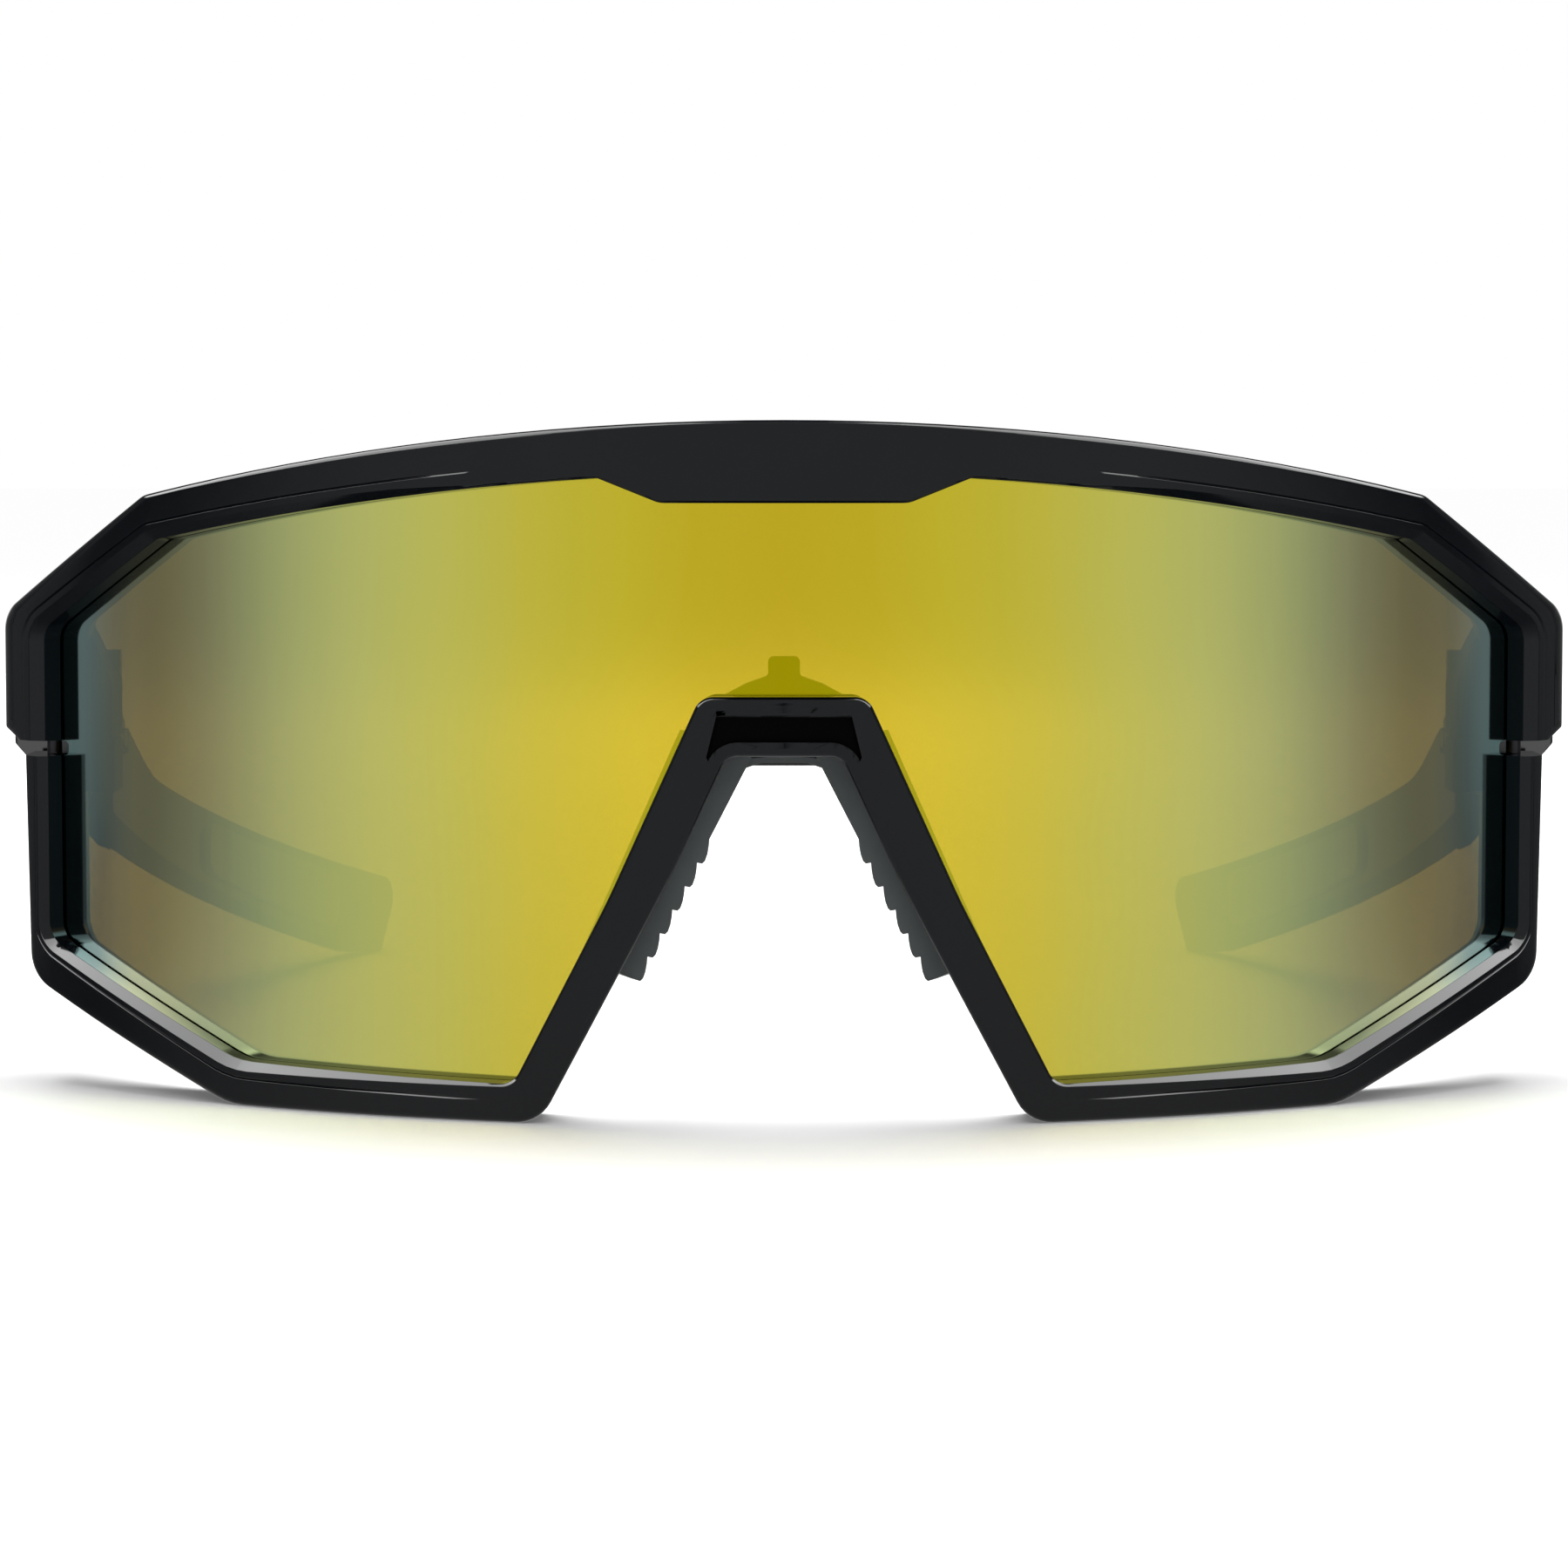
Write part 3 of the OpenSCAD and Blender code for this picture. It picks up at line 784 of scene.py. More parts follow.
    def window_high(self) -> list[Corner]:
        """Corners of the opening's edge on the brow, from the left foot to the middle."""
        turn, bump_x = self.rounds, self.bump_w / 2
        shoulder = self.shoulder_x - self.shoulder_in
        return [
            (self.window_x, self.shoulder_z - self.shoulder_low, turn.window_side),
            (shoulder, self.crest(shoulder, self.brow_h), turn.window_shoulder),
            *self.brow_line(shoulder - self.window_gap, bump_x + self.bump_slope, self.brow_h, 10),
            (bump_x, self.crest(bump_x, self.brow_h + self.bump_drop), turn.brow_bump),
        ]

    def brow_window(self) -> list[Point]:
        """The opening's edge on the brow, from the left foot to the right foot."""
        half = [(self.window_x, self.slit_top, 0.0), *self.window_high()]
        return rounded([*half, *mirror_image(half)], closed=False)

    def lower_window(self) -> list[Point]:
        """The opening's edge on the lower frame, from the right post to the left post."""
        half = [*self.window_low(), (self.window_x, self.slit_z, 0.0)]
        return rounded([*mirror_image(half), *half], closed=False)

    def lens_edge(self, lap: float, notch: float) -> list[Point]:
        """The lens's own edge, with a shallow notch at each end behind the slit.

        Args:
            lap: How far the lens runs into its groove.
            notch: How far it shows in the slit.

        Returns:
            The closed outline, in millimetres.
        """
        half = [*self.window_low()[1:], *self.window_high()]
        window = rounded([*half, *mirror_image(half)])
        moves = outward(window, True)
        edge = [(x + m.x * lap, z + m.y * lap) for (x, z), m in zip(window, moves)]
        side, floor, turn = self.window_x + lap, self.window_x + notch, self.rounds.small
        gap, slope, lead = 0.2, 0.3, 2
        low, high = self.slit_z - gap, self.slit_top + gap
        corners = [
            (side, low - lead, 0),
            (side, low, turn),
            (floor, low + slope, turn),
            (floor, high - slope, turn),
            (side, high, turn),
            (side, high + lead, 0),
        ]
        dent = rounded(corners, closed=False, step=20)
        made: list[Point] = []
        for here, after in zip(edge, [*edge[1:], edge[0]]):
            made.append(here)
            if here[0] > 0 and here[1] < low - lead and after[1] > high + lead:
                made += dent
            if here[0] < 0 and here[1] > high + lead and after[1] < low - lead:
                made += [(-x, z) for x, z in reversed(dent)]
        return made


# ---- mesh helpers ----


def verts_of(geom: Iterable[object]) -> list[bmesh.types.BMVert]:
    """The vertices in an operator's result."""
    return [g for g in geom if isinstance(g, bmesh.types.BMVert)]


def edges_of(geom: Iterable[object]) -> list[bmesh.types.BMEdge]:
    """The edges in an operator's result."""
    return [g for g in geom if isinstance(g, bmesh.types.BMEdge)]


def edges_among(geom: Iterable[object], verts: Iterable[bmesh.types.BMVert]) -> list[bmesh.types.BMEdge]:
    """The edges in an operator's result whose two ends are both among some vertices."""
    held = set(verts)
    return [e for e in edges_of(geom) if e.verts[0] in held and e.verts[1] in held]


def paint(geom: Iterable[object], slot: Slot) -> None:
    """Gives the faces in an operator's result a material slot."""
    for face in geom:
        if isinstance(face, bmesh.types.BMFace):
            face.material_index = int(slot)


def mark_sharp(bm: bmesh.types.BMesh) -> None:
    """Smooths every face and marks the edges that stay sharp."""
    for face in bm.faces:
        face.smooth = True
    for edge in bm.edges:
        edge.smooth = not (len(edge.link_faces) == 2 and edge.calc_face_angle(0.0) > SHARP_ANGLE)


def to_object(bm: bmesh.types.BMesh, name: str, materials: Iterable[bpy.types.Material]) -> bpy.types.Object:
    """Turns a bmesh into an object of the scene.

    Args:
        bm: The mesh, which is freed.
        name: The object's name.
        materials: Its materials, in slot order.

    Returns:
        The object.
    """
    mesh = bpy.data.meshes.new(name)
    bm.to_mesh(mesh)
    bm.free()
    for material in materials:
        mesh.materials.append(material)
    made = bpy.data.objects.new(name, mesh)
    bpy.context.scene.collection.objects.link(made)
    weighted = made.modifiers.new("weighted", "WEIGHTED_NORMAL")
    weighted.keep_sharp = True
    return made


def join(parts: Iterable[bmesh.types.BMesh]) -> bmesh.types.BMesh:
    """Puts several meshes into one.

    Args:
        parts: The meshes, which are freed.

    Returns:
        The joined mesh.
    """
    whole = bmesh.new()
    for part in parts:
        held = bpy.data.meshes.new("held")
        part.to_mesh(held)
        part.free()
        whole.from_mesh(held)
        bpy.data.meshes.remove(held)
    return whole


def sliced(bm: bmesh.types.BMesh, step: float) -> None:
    """Cuts a mesh by planes across X, evenly spaced by a step, so that it can bend."""
    axis = Vector((1, 0, 0))
    count = int(max(abs(v.co.x) for v in bm.verts) // step)
    for i in range(-count, count + 1):
        geom = [*bm.verts, *bm.edges, *bm.faces]
        bmesh.ops.bisect_plane(bm, geom=geom, plane_co=axis * (i * step), plane_no=axis, dist=1e-4)


def trimmed(bm: bmesh.types.BMesh, point: Vector, normal: Vector) -> None:
    """Cuts off what lies on the normal's side of a plane and closes the cut."""
    geom = [*bm.verts, *bm.edges, *bm.faces]
    cut = bmesh.ops.bisect_plane(bm, geom=geom, plane_co=point, plane_no=normal, clear_outer=True, dist=1e-7)
    edges = edges_of(cut["geom_cut"])
    if edges:
        bmesh.ops.holes_fill(bm, edges=edges, sides=0)


def rounded_edges(
    bm: bmesh.types.BMesh, edges: Iterable[bmesh.types.BMEdge], width: float, segments: int = 3
) -> None:
    """Rounds edges.

    Args:
        bm: The mesh.
        edges: The edges to round.
        width: Width of the rounding.
        segments: Faces across it.
    """
    bmesh.ops.bevel(
        bm,
        geom=list(edges),
        offset=width,
        offset_type="OFFSET",
        segments=segments,
        profile=0.5,
        affect="EDGES",
        material=-1,
        clamp_overlap=True,
    )


class SectionMoulding:
    """A band between two open edges: a section is swept along each, and the whole is bent to the wrap."""

    def __init__(self, wrap: Wrap) -> None:
        """Starts an empty moulding for a wrap."""
        self.wrap = wrap
        self.bm = bmesh.new()
        self.order = self.bm.verts.layers.int.new("order")
        self.radial = self.bm.verts.layers.float.new("radial")
        self.front: list[bmesh.types.BMEdge] = []
        self.back: list[bmesh.types.BMEdge] = []
        self.front_ends: list[list[bmesh.types.BMVert]] = []
        self.back_ends: list[list[bmesh.types.BMVert]] = []

    def sweep(
        self,
        path: Sequence[Point],
        section: Callable[[Point], Sequence[Point]],
        radial: float,
        deep: Point = (1.0, 0.0),
    ) -> None:
        """Sweeps one side's section along its edge, from the back to the front.

        Args:
            path: The edge.
            section: For a point of the edge, its section as (move to the right, depth) points.
            radial: 1 where the walls point at the lens's axis, and 0 where they run straight back.
            deep: Range of depths whose faces are the wall, which takes the less reflective material as
                painted shade. By default none are.
        """
        bm, moves = self.bm, outward(path, False)
        sections = [section(p) for p in path]

        def co(k: int, j: int) -> Vector:
            """Place of point j of the section at point k of the path."""
            move, depth = sections[k][j]
            return Vector((path[k][0] + moves[k].x * move, depth, path[k][1] + moves[k].y * move))

        row = [bm.verts.new(co(k, 0)) for k in range(len(path))]
        for k, vert in enumerate(row):
            vert[self.order] = k
            vert[self.radial] = radial
        chain = [bm.edges.new(pair) for pair in zip(row, row[1:])]
        self.back += chain
        self.back_ends.append([row[0], row[-1]])
        for j in range(1, len(sections[0])):
            out = bmesh.ops.extrude_edge_only(bm, edges=chain)["geom"]
            fresh = verts_of(out)
            for vert in fresh:
                vert.co = co(vert[self.order], j)
            # Faces within the wall's depths take the less reflective copy, as painted shade.
            wall = all(deep[0] <= sections[0][i][1] <= deep[1] for i in (j - 1, j))
            paint(out, Slot.WALL if wall else Slot.FACE)
            chain = edges_among(out, fresh)
        self.front += chain
        ends = sorted((v for v in fresh if v[self.order] in (0, len(path) - 1)), key=lambda v: v[self.order])
        self.front_ends.append(ends)

    def close(self, holes: Sequence[Sequence[Point]] = ()) -> list[list[bmesh.types.BMEdge]]:
        """Adds the face, the back and the two ends.

        Args:
            holes: Closed outlines that the face leaves open.

        Returns:
            The edges round each hole.
        """
        bm = self.bm
        rings = []
        for hole in holes:
            verts = [bm.verts.new((x, 0.0, z)) for x, z in hole]
            for vert in verts:
                vert[self.radial] = 0.5
            rings.append([bm.edges.new((a, b)) for a, b in zip(verts, [*verts[1:], verts[0]])])
        for chains, ends, extra in ((self.front, self.front_ends, rings), (self.back, self.back_ends, [])):
            across = [bm.edges.new((ends[0][i], ends[1][i])) for i in (0, 1)]
            border = [*chains, *across, *(edge for ring in extra for edge in ring)]
            filled = bmesh.ops.triangle_fill(bm, use_beauty=True, use_dissolve=False, edges=border)
            paint(filled["geom"], Slot.FACE)
        ring_edges = {edge for ring in rings for edge in ring}
        open_edges = [e for e in bm.edges if len(e.link_faces) == 1 and e not in ring_edges]
        bmesh.ops.holes_fill(bm, edges=open_edges, sides=0)
        return rings

    def shaded_hollow(self, ring: list[bmesh.types.BMEdge], shrink: float, depth: float) -> None:
        """Sinks a hole's outline into the face and closes its floor, both in the near-black material as
        painted shade.

        Args:
            ring: The edges round the hole.
            shrink: How far the floor's edge lies inside the hole's edge.
            depth: Depth of the floor.
        """
        bm = self.bm
        out = bmesh.ops.extrude_edge_only(bm, edges=ring)["geom"]
        paint(out, Slot.SHADED_HOLLOW)
        fresh = verts_of(out)
        floor_ring = edges_among(out, fresh)
        moves = {}
        for vert in fresh:
            a, b = [e.other_vert(vert).co - vert.co for e in vert.link_edges if e in floor_ring]
            moves[vert] = (a.normalized() + b.normalized()) * 0.5
        centre = sum((v.co for v in fresh), Vector()) / len(fresh)
        nearly_straight = 0.02
        for vert, move in moves.items():
            keep = move.dot(centre - vert.co) >= 0 or move.length > nearly_straight
            vert.co += (move if keep else -move) * shrink + Vector((0, depth, 0))
        floor = bmesh.ops.triangle_fill(bm, use_beauty=True, use_dissolve=False, edges=floor_ring)
        paint(floor["geom"], Slot.SHADED_HOLLOW)

    def finish(self, step: float, back_y: float) -> bmesh.types.BMesh:
        """Slices, bends and trims the moulding.

        Args:
            step: Width of a slice, in millimetres.
            back_y: Depth behind the lens's foremost line past which it is cut off.

        Returns:
            The mesh in the row frame, in metres.
        """
        bm = self.bm
        sliced(bm, step)
        for vert in bm.verts:
            vert.co = self.wrap.bent(vert.co.x, vert.co.y, vert.co.z, vert[self.radial])
        bmesh.ops.remove_doubles(bm, verts=bm.verts, dist=2e-6)
        trimmed(bm, Vector((0, (back_y + self.wrap.shift) * MM, 0)), Vector((0, 1, 0)))
        bmesh.ops.recalc_face_normals(bm, faces=bm.faces)
        return bm


# ---- pieces ----


class Palette:
    """The materials of the whole object."""

    def __init__(self) -> None:
        """Builds every material once."""
        self.gloss = GlossMoulding().material()
        self.temple = GlossMoulding("gloss_temple", shine=1.0, gloss=0.08).material()
        # The wall copy reflects less than the moulding: painted shade on the walls beside the lens.
        self.wall = GlossMoulding("gloss_wall_painted_shade", shine=0.07).material()
        # Near-black, barely reflective copy: painted shade in the bridge's hollow and on the hinge blocks
        # seen in the slit.
        shadow, paler = (0.0006, 0.0005, 0.0005), (0.001, 0.0009, 0.0009)
        self.shaded_hollow = GlossMoulding("hollow_painted_shade", shadow, paler, gloss=0.3, shine=0.02).material()
        self.mirror = MirrorCoat().material()
        self.smoked = SmokedBack().material()
        self.rubber = SoftRubber().material()
        self.steel = SatinSteel().material()
        self.bright = SatinSteel("bright_steel", (0.66, 0.66, 0.67), 0.14).material()
        # Near-black steel for the jaw pins: painted shade, as they sit in the dark slit between the frames.
        self.slit_shade_steel = SatinSteel("steel_painted_slit_shade", (0.05, 0.05, 0.055), 0.3).material()
        self.nylon = PlainNylon().material()
        self.satin = SatinPlastic().material()


@dataclass(frozen=True)
class Section:
    """Section of the frame's two edges, in millimetres.

    The chamfer beside the lens and the fine line outside it grow from the middle to the sides. On the lower
    frame's narrow posts both sections draw together, and at the brow's foot the outer rounding gives way.
    """

    depth: float = 7.2
    lip: float = 2.65
    groove_back: float = 4.95
    groove: float = 1.65
    chamfer: float = 0.8
    chamfer_depth: float = 0.9
    chamfer_least: float = 0.3
    chamfer_grows: Point = (24.0, 12.0)
    line_at: float = 1.35
    line_w: float = 0.22
    line_cut: Point = (0.004, 0.2)
    line_land: float = 0.15
    roundover: float = 0.6
    end_round: float = 0.6
    end_grows: Point = (71.5, 1.5)
    split_z: float = 31.0
    lean: float = 0.8
    back_round: float = 0.5
    flare: float = 1.05
    flare_at: float = 5.6
    flare_land: float = 0.35
    fine_round: float = 0.1
    line_round: float = 0.03
    tight_run: float = 3.0
    window_tight: float = 64.0
    outer_tight: float = 66.5
    foot_x: float = 70.0
    foot_h: float = 1.2
    back_land: float = 0.9
    face_land: float = 1.3

    @property
    def wall(self) -> Point:
        """Range of depths of the wall between the face and the lens, which takes the less reflective material
        as painted shade.
        """
        return (self.chamfer_depth * 0.2, self.lip + 0.1)

    def _tight(self, point: Point, start: float) -> float:
        """1 on the lower frame's narrow posts, from a short run beyond an x, and 0 elsewhere."""
        return share_past(abs(point[0]), start, self.tight_run) * (point[1] < self.split_z)

    def window_side(self, point: Point) -> list[Point]:
        """Section beside the lens at a point of its edge, from the back to the face."""
        least, grown = self.chamfer_least, share_past(abs(point[0]), *self.chamfer_grows)
        share = least + (1 - least) * grown * grown * (3 - 2 * grown)
        tight = self._tight(point, self.window_tight)
        chamfer, deep = self.chamfer * share * (1 - 0.4 * tight), self.chamfer_depth * share
        line = self.line_at - 0.6 * tight
        cut = self.line_cut[0] + self.line_cut[1] * (share - least) / (1 - least)
        corners = [
            (self.flare + self.flare_land, self.depth, 0.0),
            (self.flare, self.depth, 0.3),
            (0.0, self.flare_at, 0.4),
            (0.0, self.groove_back, self.fine_round),
            (self.groove, self.groove_back, 0.0),
            (self.groove, self.lip, 0.0),
            (0.0, self.lip, 0.08),
            (0.0, deep, self.fine_round),
            (chamfer, 0.0, self.fine_round),
            (line, 0.0, self.line_round),
            (line + self.line_w / 2, cut * (1 - 0.7 * tight), self.line_round),
            (line + self.line_w * (1 - 0.3 * tight), 0.0, self.line_round),
            (line + self.line_w + self.line_land * (1 - tight), 0.0, 0.0),
        ]
        return rounded(corners, closed=False, steps=3)

    def outer_side(self, point: Point) -> list[Point]:
        """Section at the outside at a point of its edge, from the back to the face."""
        share = share_past(abs(point[0]), *self.end_grows)
        tight = self._tight(point, self.outer_tight)
        low = self.split_z < point[1] < self.split_z + self.foot_h
        foot = float(low and abs(point[0]) > self.foot_x)
        corners = [
            (-self.back_land, self.depth, 0.0),
            (0.0, self.depth, self.back_round),
            (0.0, 0.0, self.roundover + self.end_round * share - 0.25 * tight - 0.5 * foot),
            (-self.face_land + 0.85 * tight + 1.1 * foot, 0.0, 0.0),
        ]
        return rounded(corners, closed=False, steps=6)


@dataclass
class BrowFrame:
    """The upper half of the frame with the two hinge blocks behind its ends, which are near-black as painted
    shade.
    """

    shape: FrontShape
    palette: Palette
    section: Section = field(default_factory=Section)
    block_w: float = 10.6
    block_low: float = 26.5
    block_gap: float = 0.3
    block_rise: float = 0.8
    block_top: float = 1.2
    block_slope: Point = (5.2, 2.6)
    block_round: float = 0.35
    step: float = 2.0

    def build(self) -> bpy.types.Object:
        """Builds the brow and dresses it."""
        shape = self.shape
        band = SectionMoulding(shape.wrap)
        band.sweep(shape.brow_window(), self.section.window_side, 1.0, self.section.wall)
        band.sweep(shape.brow_outside(), self.section.outer_side, 0.0)
        band.close()
        bm = join([band.finish(self.step, shape.end_y), *(self._hinge_block(side) for side in Side)])
        mark_sharp(bm)
        made = to_object(bm, "brow_moulding", [self.palette.gloss, self.palette.wall, self.palette.shaded_hollow])
        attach(made, "front")
        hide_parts("brow_frame")
        return made

    def _hinge_block(self, side: Side) -> bmesh.types.BMesh:
        """The block that the hinge bracket is screwed to.

        Args:
            side: The wearer's side.

        Returns:
            Its mesh, in metres.
        """
        shape, wrap = self.shape, self.shape.wrap
        inner_x = shape.end_x - self.block_w
        top = shape.shoulder_z - self.block_top
        rear = wrap.lens_r - wrap.behind
        lower = (rear - self.block_gap, self.block_low, shape.slit_top)
        upper = (rear + self.block_rise, shape.slit_top, top)
        parts = []
        for radius, low, high in (lower, upper):
            last = math.sqrt(radius**2 - (wrap.lens_r - shape.end_y) ** 2)
            arc = [inner_x + (last - inner_x) * i / 8 for i in range(9)]
            plan = [(x, wrap.lens_r - math.sqrt(radius**2 - x * x)) for x in arc]
            part = bmesh.new()
            verts = [part.verts.new((x, y + wrap.shift, low)) for x, y in [*plan, (inner_x, shape.end_y)]]
            out = bmesh.ops.extrude_face_region(part, geom=[part.faces.new(verts)])
            bmesh.ops.translate(part, verts=verts_of(out["geom"]), vec=(0, 0, high - low))
            parts.append(part)
        drop, run = self.block_slope
        trimmed(parts[1], Vector((inner_x, 0, top - drop)), Vector((-drop, 0, run)).normalized())
        for part in parts:
            bmesh.ops.recalc_face_normals(part, faces=part.faces)
            # The whole block takes the near-black material, as painted shade where it shows in the slit.
            paint(part.faces, Slot.SHADED_HOLLOW)
            corners = [e for e in part.edges if e.calc_face_angle(0.0) > 0.5]
            rounded_edges(part, corners, self.block_round, 2)
        bm = join(parts)
        mirror_scale = Vector((MM * side.value, MM, MM))
        bmesh.ops.scale(bm, vec=mirror_scale, verts=bm.verts)
        bmesh.ops.recalc_face_normals(bm, faces=bm.faces)
        return bm


@dataclass
class LowerFrame:
    """The lower half of the frame, from post to post round the nose, with the hollow in its bridge,
    near-black as painted shade.
    """

    shape: FrontShape
    palette: Palette
    section: Section = field(default_factory=Section)
    scoop_depth: float = 1.1
    scoop_draft: float = 0.25
    line_foot: Point = (11.7, 19.9)
    back_in: float = 1.8
    step: float = 2.0

    def scoop(self) -> list[Point]:
        """Outline of the bridge's hollow, whose lower corners run on as fine lines down the legs."""
        z, x = self.shape.bridge_z, self.shape.bridge_half
        foot_x, foot_z = self.line_foot
        half = [
            (0.0, z + 0.75, 0.0),
            (x - 0.8, z + 0.7, 1.0),
            (x + 0.9, z + 0.1, 1.0),
            (x + 1.85, z - 1.75, 0.0),
            (foot_x - 0.1, foot_z, 0.0),
            (foot_x + 0.1, foot_z + 0.05, 0.0),
            (x + 2.2, z - 1.9, 0.0),
            (x + 1.6, z + 0.1, 3.0),
            (x + 0.85, z + 3.2, 3.0),
            (x + 0.6, z + 4.5, 0.4),
            (x - 2.5, z + 4.7, 8.0),
        ]
        return rounded([*half, *mirror_image(half)])

    def build(self) -> bpy.types.Object:
        """Builds the lower frame and dresses it."""
        shape = self.shape
        band = SectionMoulding(shape.wrap)
        band.sweep(shape.lower_window(), self.section.window_side, self.section.lean, self.section.wall)
        band.sweep(shape.lower_outside(), self.section.outer_side, 0.0)
        for ring in band.close([self.scoop()]):
            band.shaded_hollow(ring, self.scoop_draft, self.scoop_depth)
        bm = band.finish(self.step, shape.end_y - self.back_in)
        mark_sharp(bm)
        made = to_object(bm, "lower_moulding", [self.palette.gloss, self.palette.wall, self.palette.shaded_hollow])
        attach(made, "jaw")
        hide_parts("lower_frame")
        return made


@dataclass
class ShieldLens:
    """The one-piece lens: a mirror coat in front, smoked plastic behind and round the edge."""

    shape: FrontShape
    palette: Palette
    thickness: float = 2.0
    lap: float = 1.5
    shown: float = -0.65
    step: float = 1.0

    def build(self) -> bpy.types.Object:
        """Builds the lens and dresses it."""
        wrap = self.shape.wrap
        bm = bmesh.new()
        verts = [bm.verts.new((x, wrap.proud, z)) for x, z in self.shape.lens_edge(self.lap, self.shown)]
        front = bm.faces.new(verts)
        out = bmesh.ops.extrude_face_region(bm, geom=[front])
        bmesh.ops.translate(bm, verts=verts_of(out["geom"]), vec=(0, self.thickness, 0))
        bmesh.ops.recalc_face_normals(bm, faces=bm.faces)
        for face in bm.faces:
            face.material_index = 0 if face.normal.y < -0.9 else 1
        sliced(bm, self.step)
        for vert in bm.verts:
            vert.co = wrap.bent(vert.co.x, vert.co.y, vert.co.z, 1.0)
        bmesh.ops.recalc_face_normals(bm, faces=bm.faces)
        mark_sharp(bm)
        made = to_object(bm, "shield_lens", [self.palette.mirror, self.palette.smoked])
        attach(made, "front")
        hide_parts("lens")
        return made


# ---- studio ----


@dataclass(frozen=True)
class Lamp:
    """A square area lamp: its place and the point that it faces in metres, its side and its watts."""

    name: str
    place: Place
    aim: Place
    size: float
    power: float

    def hang(self) -> None:
        """Adds the lamp to the scene, unseen by mirrors."""
        data = bpy.data.lights.new(self.name, "AREA")
        data.shape = "SQUARE"
        data.size = self.size
        data.energy = self.power
        lamp = bpy.data.objects.new(self.name, data)
        place = Vector(self.place)
        lamp.location = place
        lamp.rotation_euler = (Vector(self.aim) - place).to_track_quat("-Z", "Y").to_euler()
        lamp.visible_glossy = False
        bpy.context.scene.collection.objects.link(lamp)


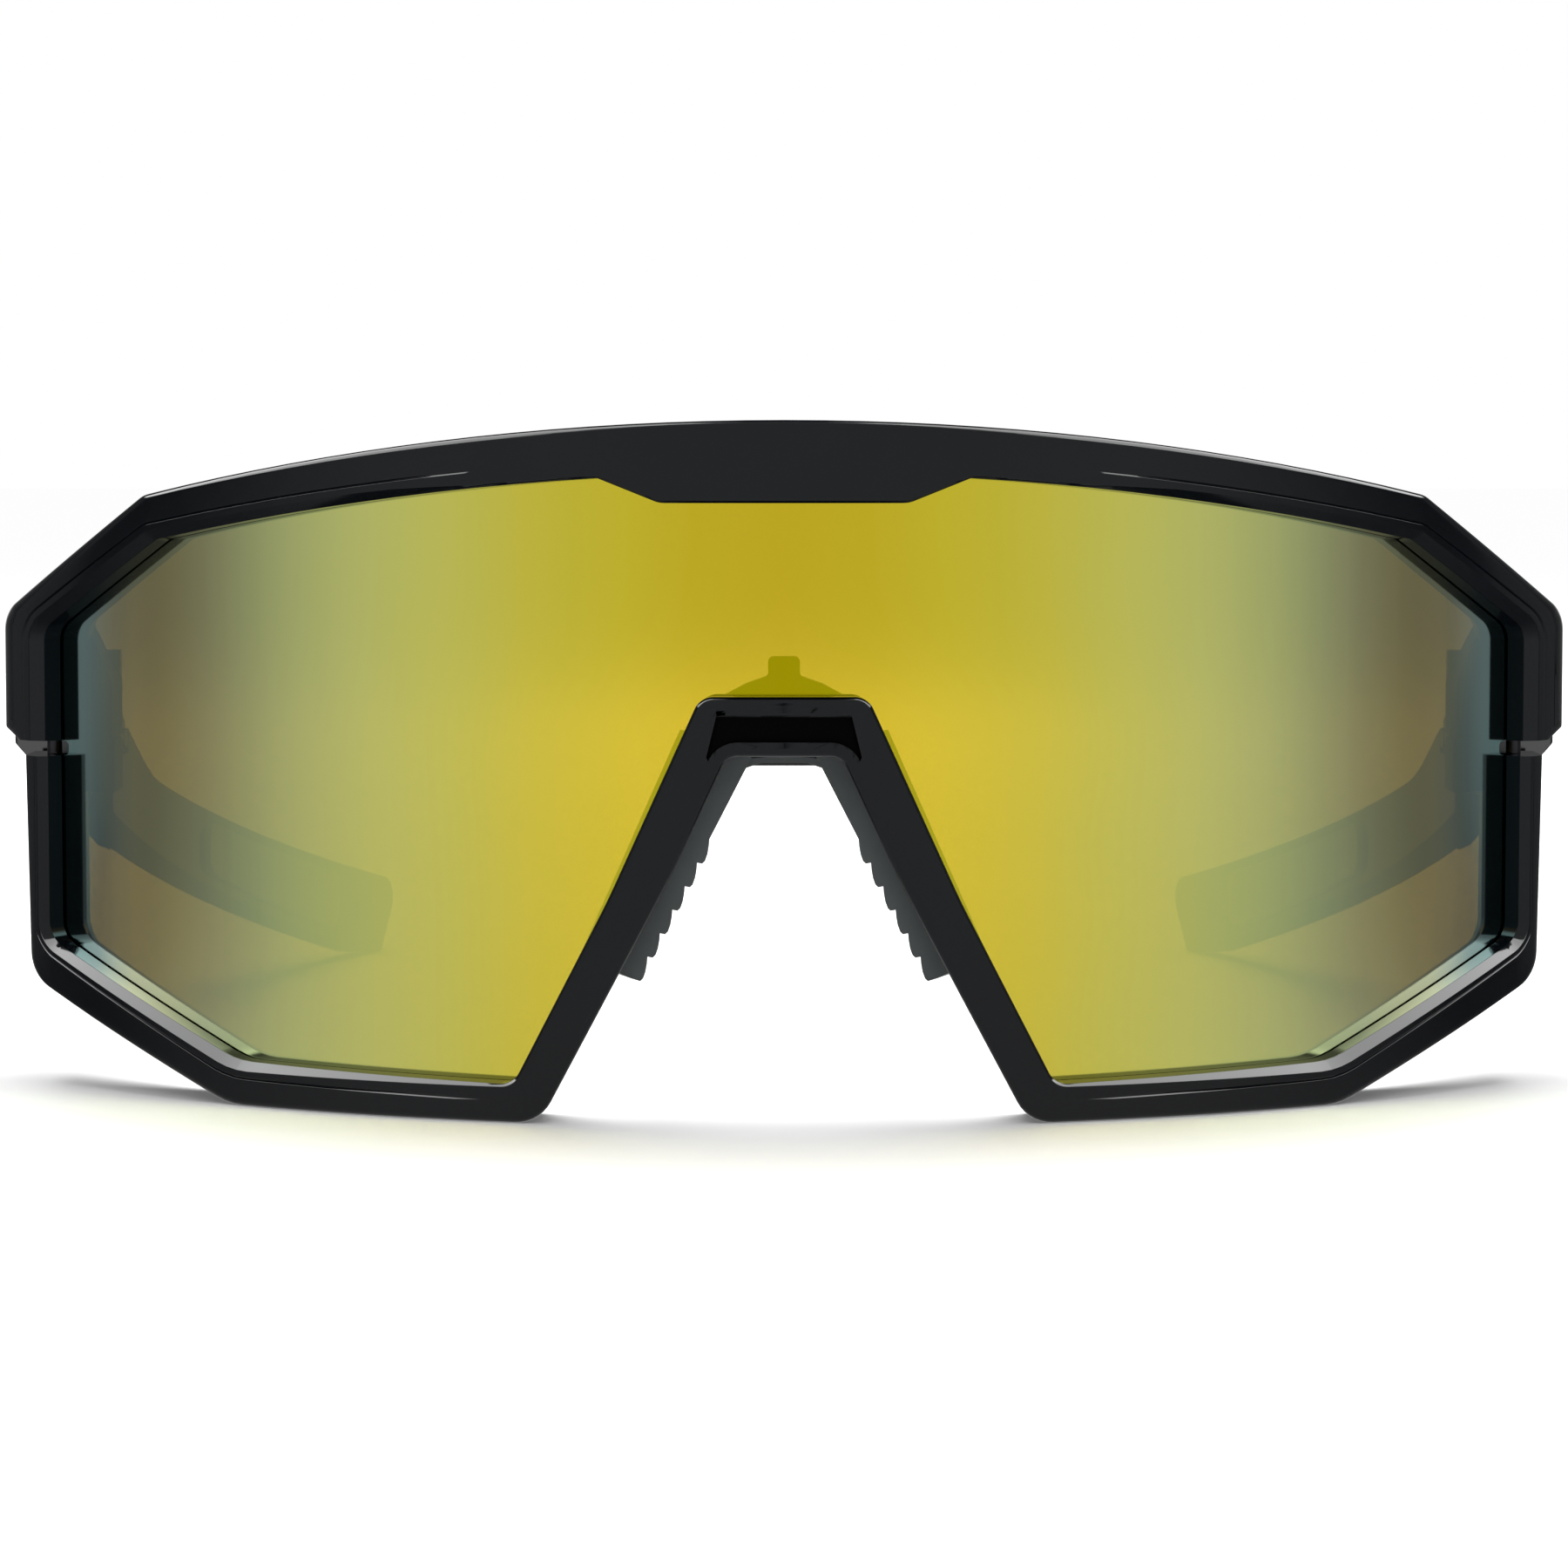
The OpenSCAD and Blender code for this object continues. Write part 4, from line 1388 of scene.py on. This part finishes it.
@dataclass
class Studio:
    """Camera, floor, world and lamps.

    What mirrors and glass see is set by direction. A pair such as past_starts is the range over which one
    part of that surround comes in or goes out.
    """

    camera_y: float = -0.4927
    camera_z: float = 0.0593
    pitch: float = 4.0167
    focal: float = 111.08
    front_range: Point = (0.0, 0.75)
    screened: float = 0.13
    past_screens: float = 0.14
    past_starts: Point = (0.08, 0.22)
    past_ends: Point = (0.38, 0.5)
    behind_range: Point = (0.85, 0.98)
    behind_height: Point = (0.3, 0.5)
    softbox: float = 13.0
    softbox_low: Point = (0.44, 0.52)
    softbox_top: Point = (0.985, 0.998)
    softbox_sides: Point = (0.55, 0.75)
    softbox_back: Point = (0.45, 0.6)
    wrap_back: float = 0.035
    ambient: float = 0.35
    floor_half: float = 6.0
    floor_pale: Colour = (0.82, 0.82, 0.82)
    floor_grain: Colour = (0.80, 0.80, 0.80)
    floor_glow: float = 0.10
    far_glow: float = 0.6
    glow_range: Point = (0.2, 0.6)
    floor_seen: Point = (0.95, 0.05)
    seen_range: Point = (0.1, 0.6)
    lamps: tuple[Lamp, ...] = (
        Lamp("overhead", (0.0, 0.22, 0.62), (0.0, 0.0, 0.0), 0.60, 9.0),
        Lamp("front_fill", (0.0, -0.75, 0.75), (0.0, 0.0, 0.02), 0.7, 2.0),
    )

    def build(self) -> None:
        """Builds the whole studio."""
        scene = bpy.context.scene
        scene.view_settings.view_transform = "Standard"
        data = bpy.data.cameras.new("camera")
        data.lens = self.focal
        data.sensor_width = 36.0
        data.clip_start = 0.01
        camera = bpy.data.objects.new("camera", data)
        camera.location = (0.0, self.camera_y, self.camera_z)
        camera.rotation_euler = (math.radians(90 - self.pitch), 0.0, 0.0)
        scene.collection.objects.link(camera)
        scene.camera = camera
        self._floor()
        self._world()
        for lamp in self.lamps:
            lamp.hang()

    @staticmethod
    def _ray(r: Recipe, kind: str) -> Wire:
        """1 for one kind of ray and 0 for the others."""
        return r.node("ShaderNodeLightPath", output=f"Is {kind} Ray")

    def _mirrored(self, r: Recipe) -> Wire:
        """1 for the rays that see the background in a mirror or through glass."""
        return self._ray(r, "Glossy").largest(self._ray(r, "Transmission"))

    @staticmethod
    def _parts(r: Recipe, way: Wire) -> tuple[Wire, Wire, Wire, Wire]:
        """X, Y and Z of a direction, and its length as seen from above."""
        x, y, z = (r.node("ShaderNodeSeparateXYZ", {}, {0: way}, output=k) for k in range(3))
        return x, y, z, (x * x + y * y + 0.0001).root()

    def _flagged(self, r: Recipe, way: Wire) -> Wire:
        """Brightness of the surround that mirrors and glass see.

        It is white in front and low down behind. Screens at the sides leave it dim, and a little less so
        past them.

        Args:
            r: The tree that the direction belongs to.
            way: The direction looked at.

        Returns:
            A value from 0 to 1.
        """
        _, y, z, flat = self._parts(r, way)
        back = y / flat
        front = (0 - back).eased(*self.front_range) * (1 - self.screened)
        past = back.eased(*self.past_starts) * (1 - back.eased(*self.past_ends)) * self.past_screens
        behind = back.eased(*self.behind_range) * (1 - z.absolute().eased(*self.behind_height))
        return (self.screened + front + past).largest(behind)

    def _overhead(self, r: Recipe, way: Wire) -> Wire:
        """Brightness of the two softboxes high at the sides, as mirrors and glass see them.

        Args:
            r: The tree that the direction belongs to.
            way: The direction looked at.

        Returns:
            A value from 0 to the softboxes' brightness.
        """
        x, y, z, flat = self._parts(r, way)
        lit = z.eased(*self.softbox_low) * (1 - z.eased(*self.softbox_top))
        side = (x.absolute() / flat).eased(*self.softbox_sides)
        return lit * side * (1 - y.eased(*self.softbox_back)) * self.softbox

    def _floor(self) -> None:
        """Lays a pale floor that shows white and keeps the object's shadow."""
        bm = bmesh.new()
        bmesh.ops.create_grid(bm, x_segments=4, y_segments=4, size=self.floor_half)
        material, r = new_material("floor_paper")
        colour = r.blended(r.noise(3.0), self.floor_grain, self.floor_pale)
        paper = r.node("ShaderNodeBsdfDiffuse", {}, {"Color": colour})
        place = r.place()
        far = r.node("ShaderNodeVectorMath", {"operation": "LENGTH"}, {0: place}, output="Value")
        glow = self._ray(r, "Camera") * (self.floor_glow + far.eased(*self.glow_range) * self.far_glow)
        lit = r.node("ShaderNodeAddShader", {}, {0: paper, 1: self._emission(r, glow)})
        wrap = (0.0, self.wrap_back, 0.0)
        from_wrap = r.node("ShaderNodeVectorMath", {"operation": "ADD"}, {0: place, 1: wrap})
        near, more = self.floor_seen
        shown = self._flagged(r, from_wrap) * (near + far.eased(*self.seen_range) * more)
        seen = self._emission(r, shown)
        r.finish(r.node("ShaderNodeMixShader", {}, {0: self._mirrored(r), 1: lit, 2: seen}))
        floor = to_object(bm, "floor", [material])
        floor.modifiers.clear()

    @staticmethod
    def _emission(r: Recipe, strength: Wire) -> Wire:
        """A white glow of some strength."""
        return r.node("ShaderNodeEmission", {}, {"Color": WHITE, "Strength": strength})

    def _world(self) -> None:
        """Sets the surround: white to the camera, the screens to mirrors and glass, and a low even fill."""
        world = bpy.data.worlds.new("surround")
        bpy.context.scene.world = world
        world.use_nodes = True
        r = Recipe(world.node_tree)
        way = r.node("ShaderNodeTexCoord", output="Generated")
        camera = self._ray(r, "Camera")
        mirror = self._mirrored(r)
        others = (1 - camera) * (1 - mirror) * self.ambient
        strength = camera + mirror * (self._flagged(r, way) + self._overhead(r, way)) + others
        background = r.node("ShaderNodeBackground", {}, {"Color": WHITE, "Strength": strength})
        r.finish(background, "ShaderNodeOutputWorld")


def dress(nodes: dict[str, bpy.types.Object], name: str, material: bpy.types.Material) -> None:
    """Gives a CAD node a finish.

    Args:
        nodes: The CAD nodes by name.
        name: The node.
        material: The finish.
    """
    slots = nodes[name].material_slots
    for slot in slots:
        slot.material = material
    if not slots:
        nodes[name].data.materials.append(material)
    LOG.info("dressed %s with %s", name, material.name)


def main() -> None:
    """Builds every piece in order and reports it."""
    logging.basicConfig(level=logging.INFO, format="%(name)s: %(message)s")
    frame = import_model()
    nodes = frame["nodes"]
    palette, shape = Palette(), FrontShape()
    Studio().build()
    for piece in (BrowFrame(shape, palette), LowerFrame(shape, palette), ShieldLens(shape, palette)):
        made = piece.build()
        LOG.info("%s: %d faces", made.name, len(made.data.polygons))
    dress(nodes, "nose_pad", palette.rubber)
    dress(nodes, "nose_carrier", palette.satin)
    dress(nodes, "bracket_screws", palette.bright)
    # The jaw pins take near-black steel as painted shade of the slit.
    dress(nodes, "jaw_pins", palette.slit_shade_steel)
    in_pairs = {
        "temple_arm": palette.temple,
        "ear_grip": palette.rubber,
        "hinge_bracket": palette.steel,
        "temple_leaf": palette.steel,
        "hinge_screw": palette.bright,
        "leaf_screws": palette.bright,
        "hinge_washers": palette.nylon,
    }
    for part, material in in_pairs.items():
        for side in Side:
            dress(nodes, side.node(part), material)


if __name__ == "__main__":
    main()
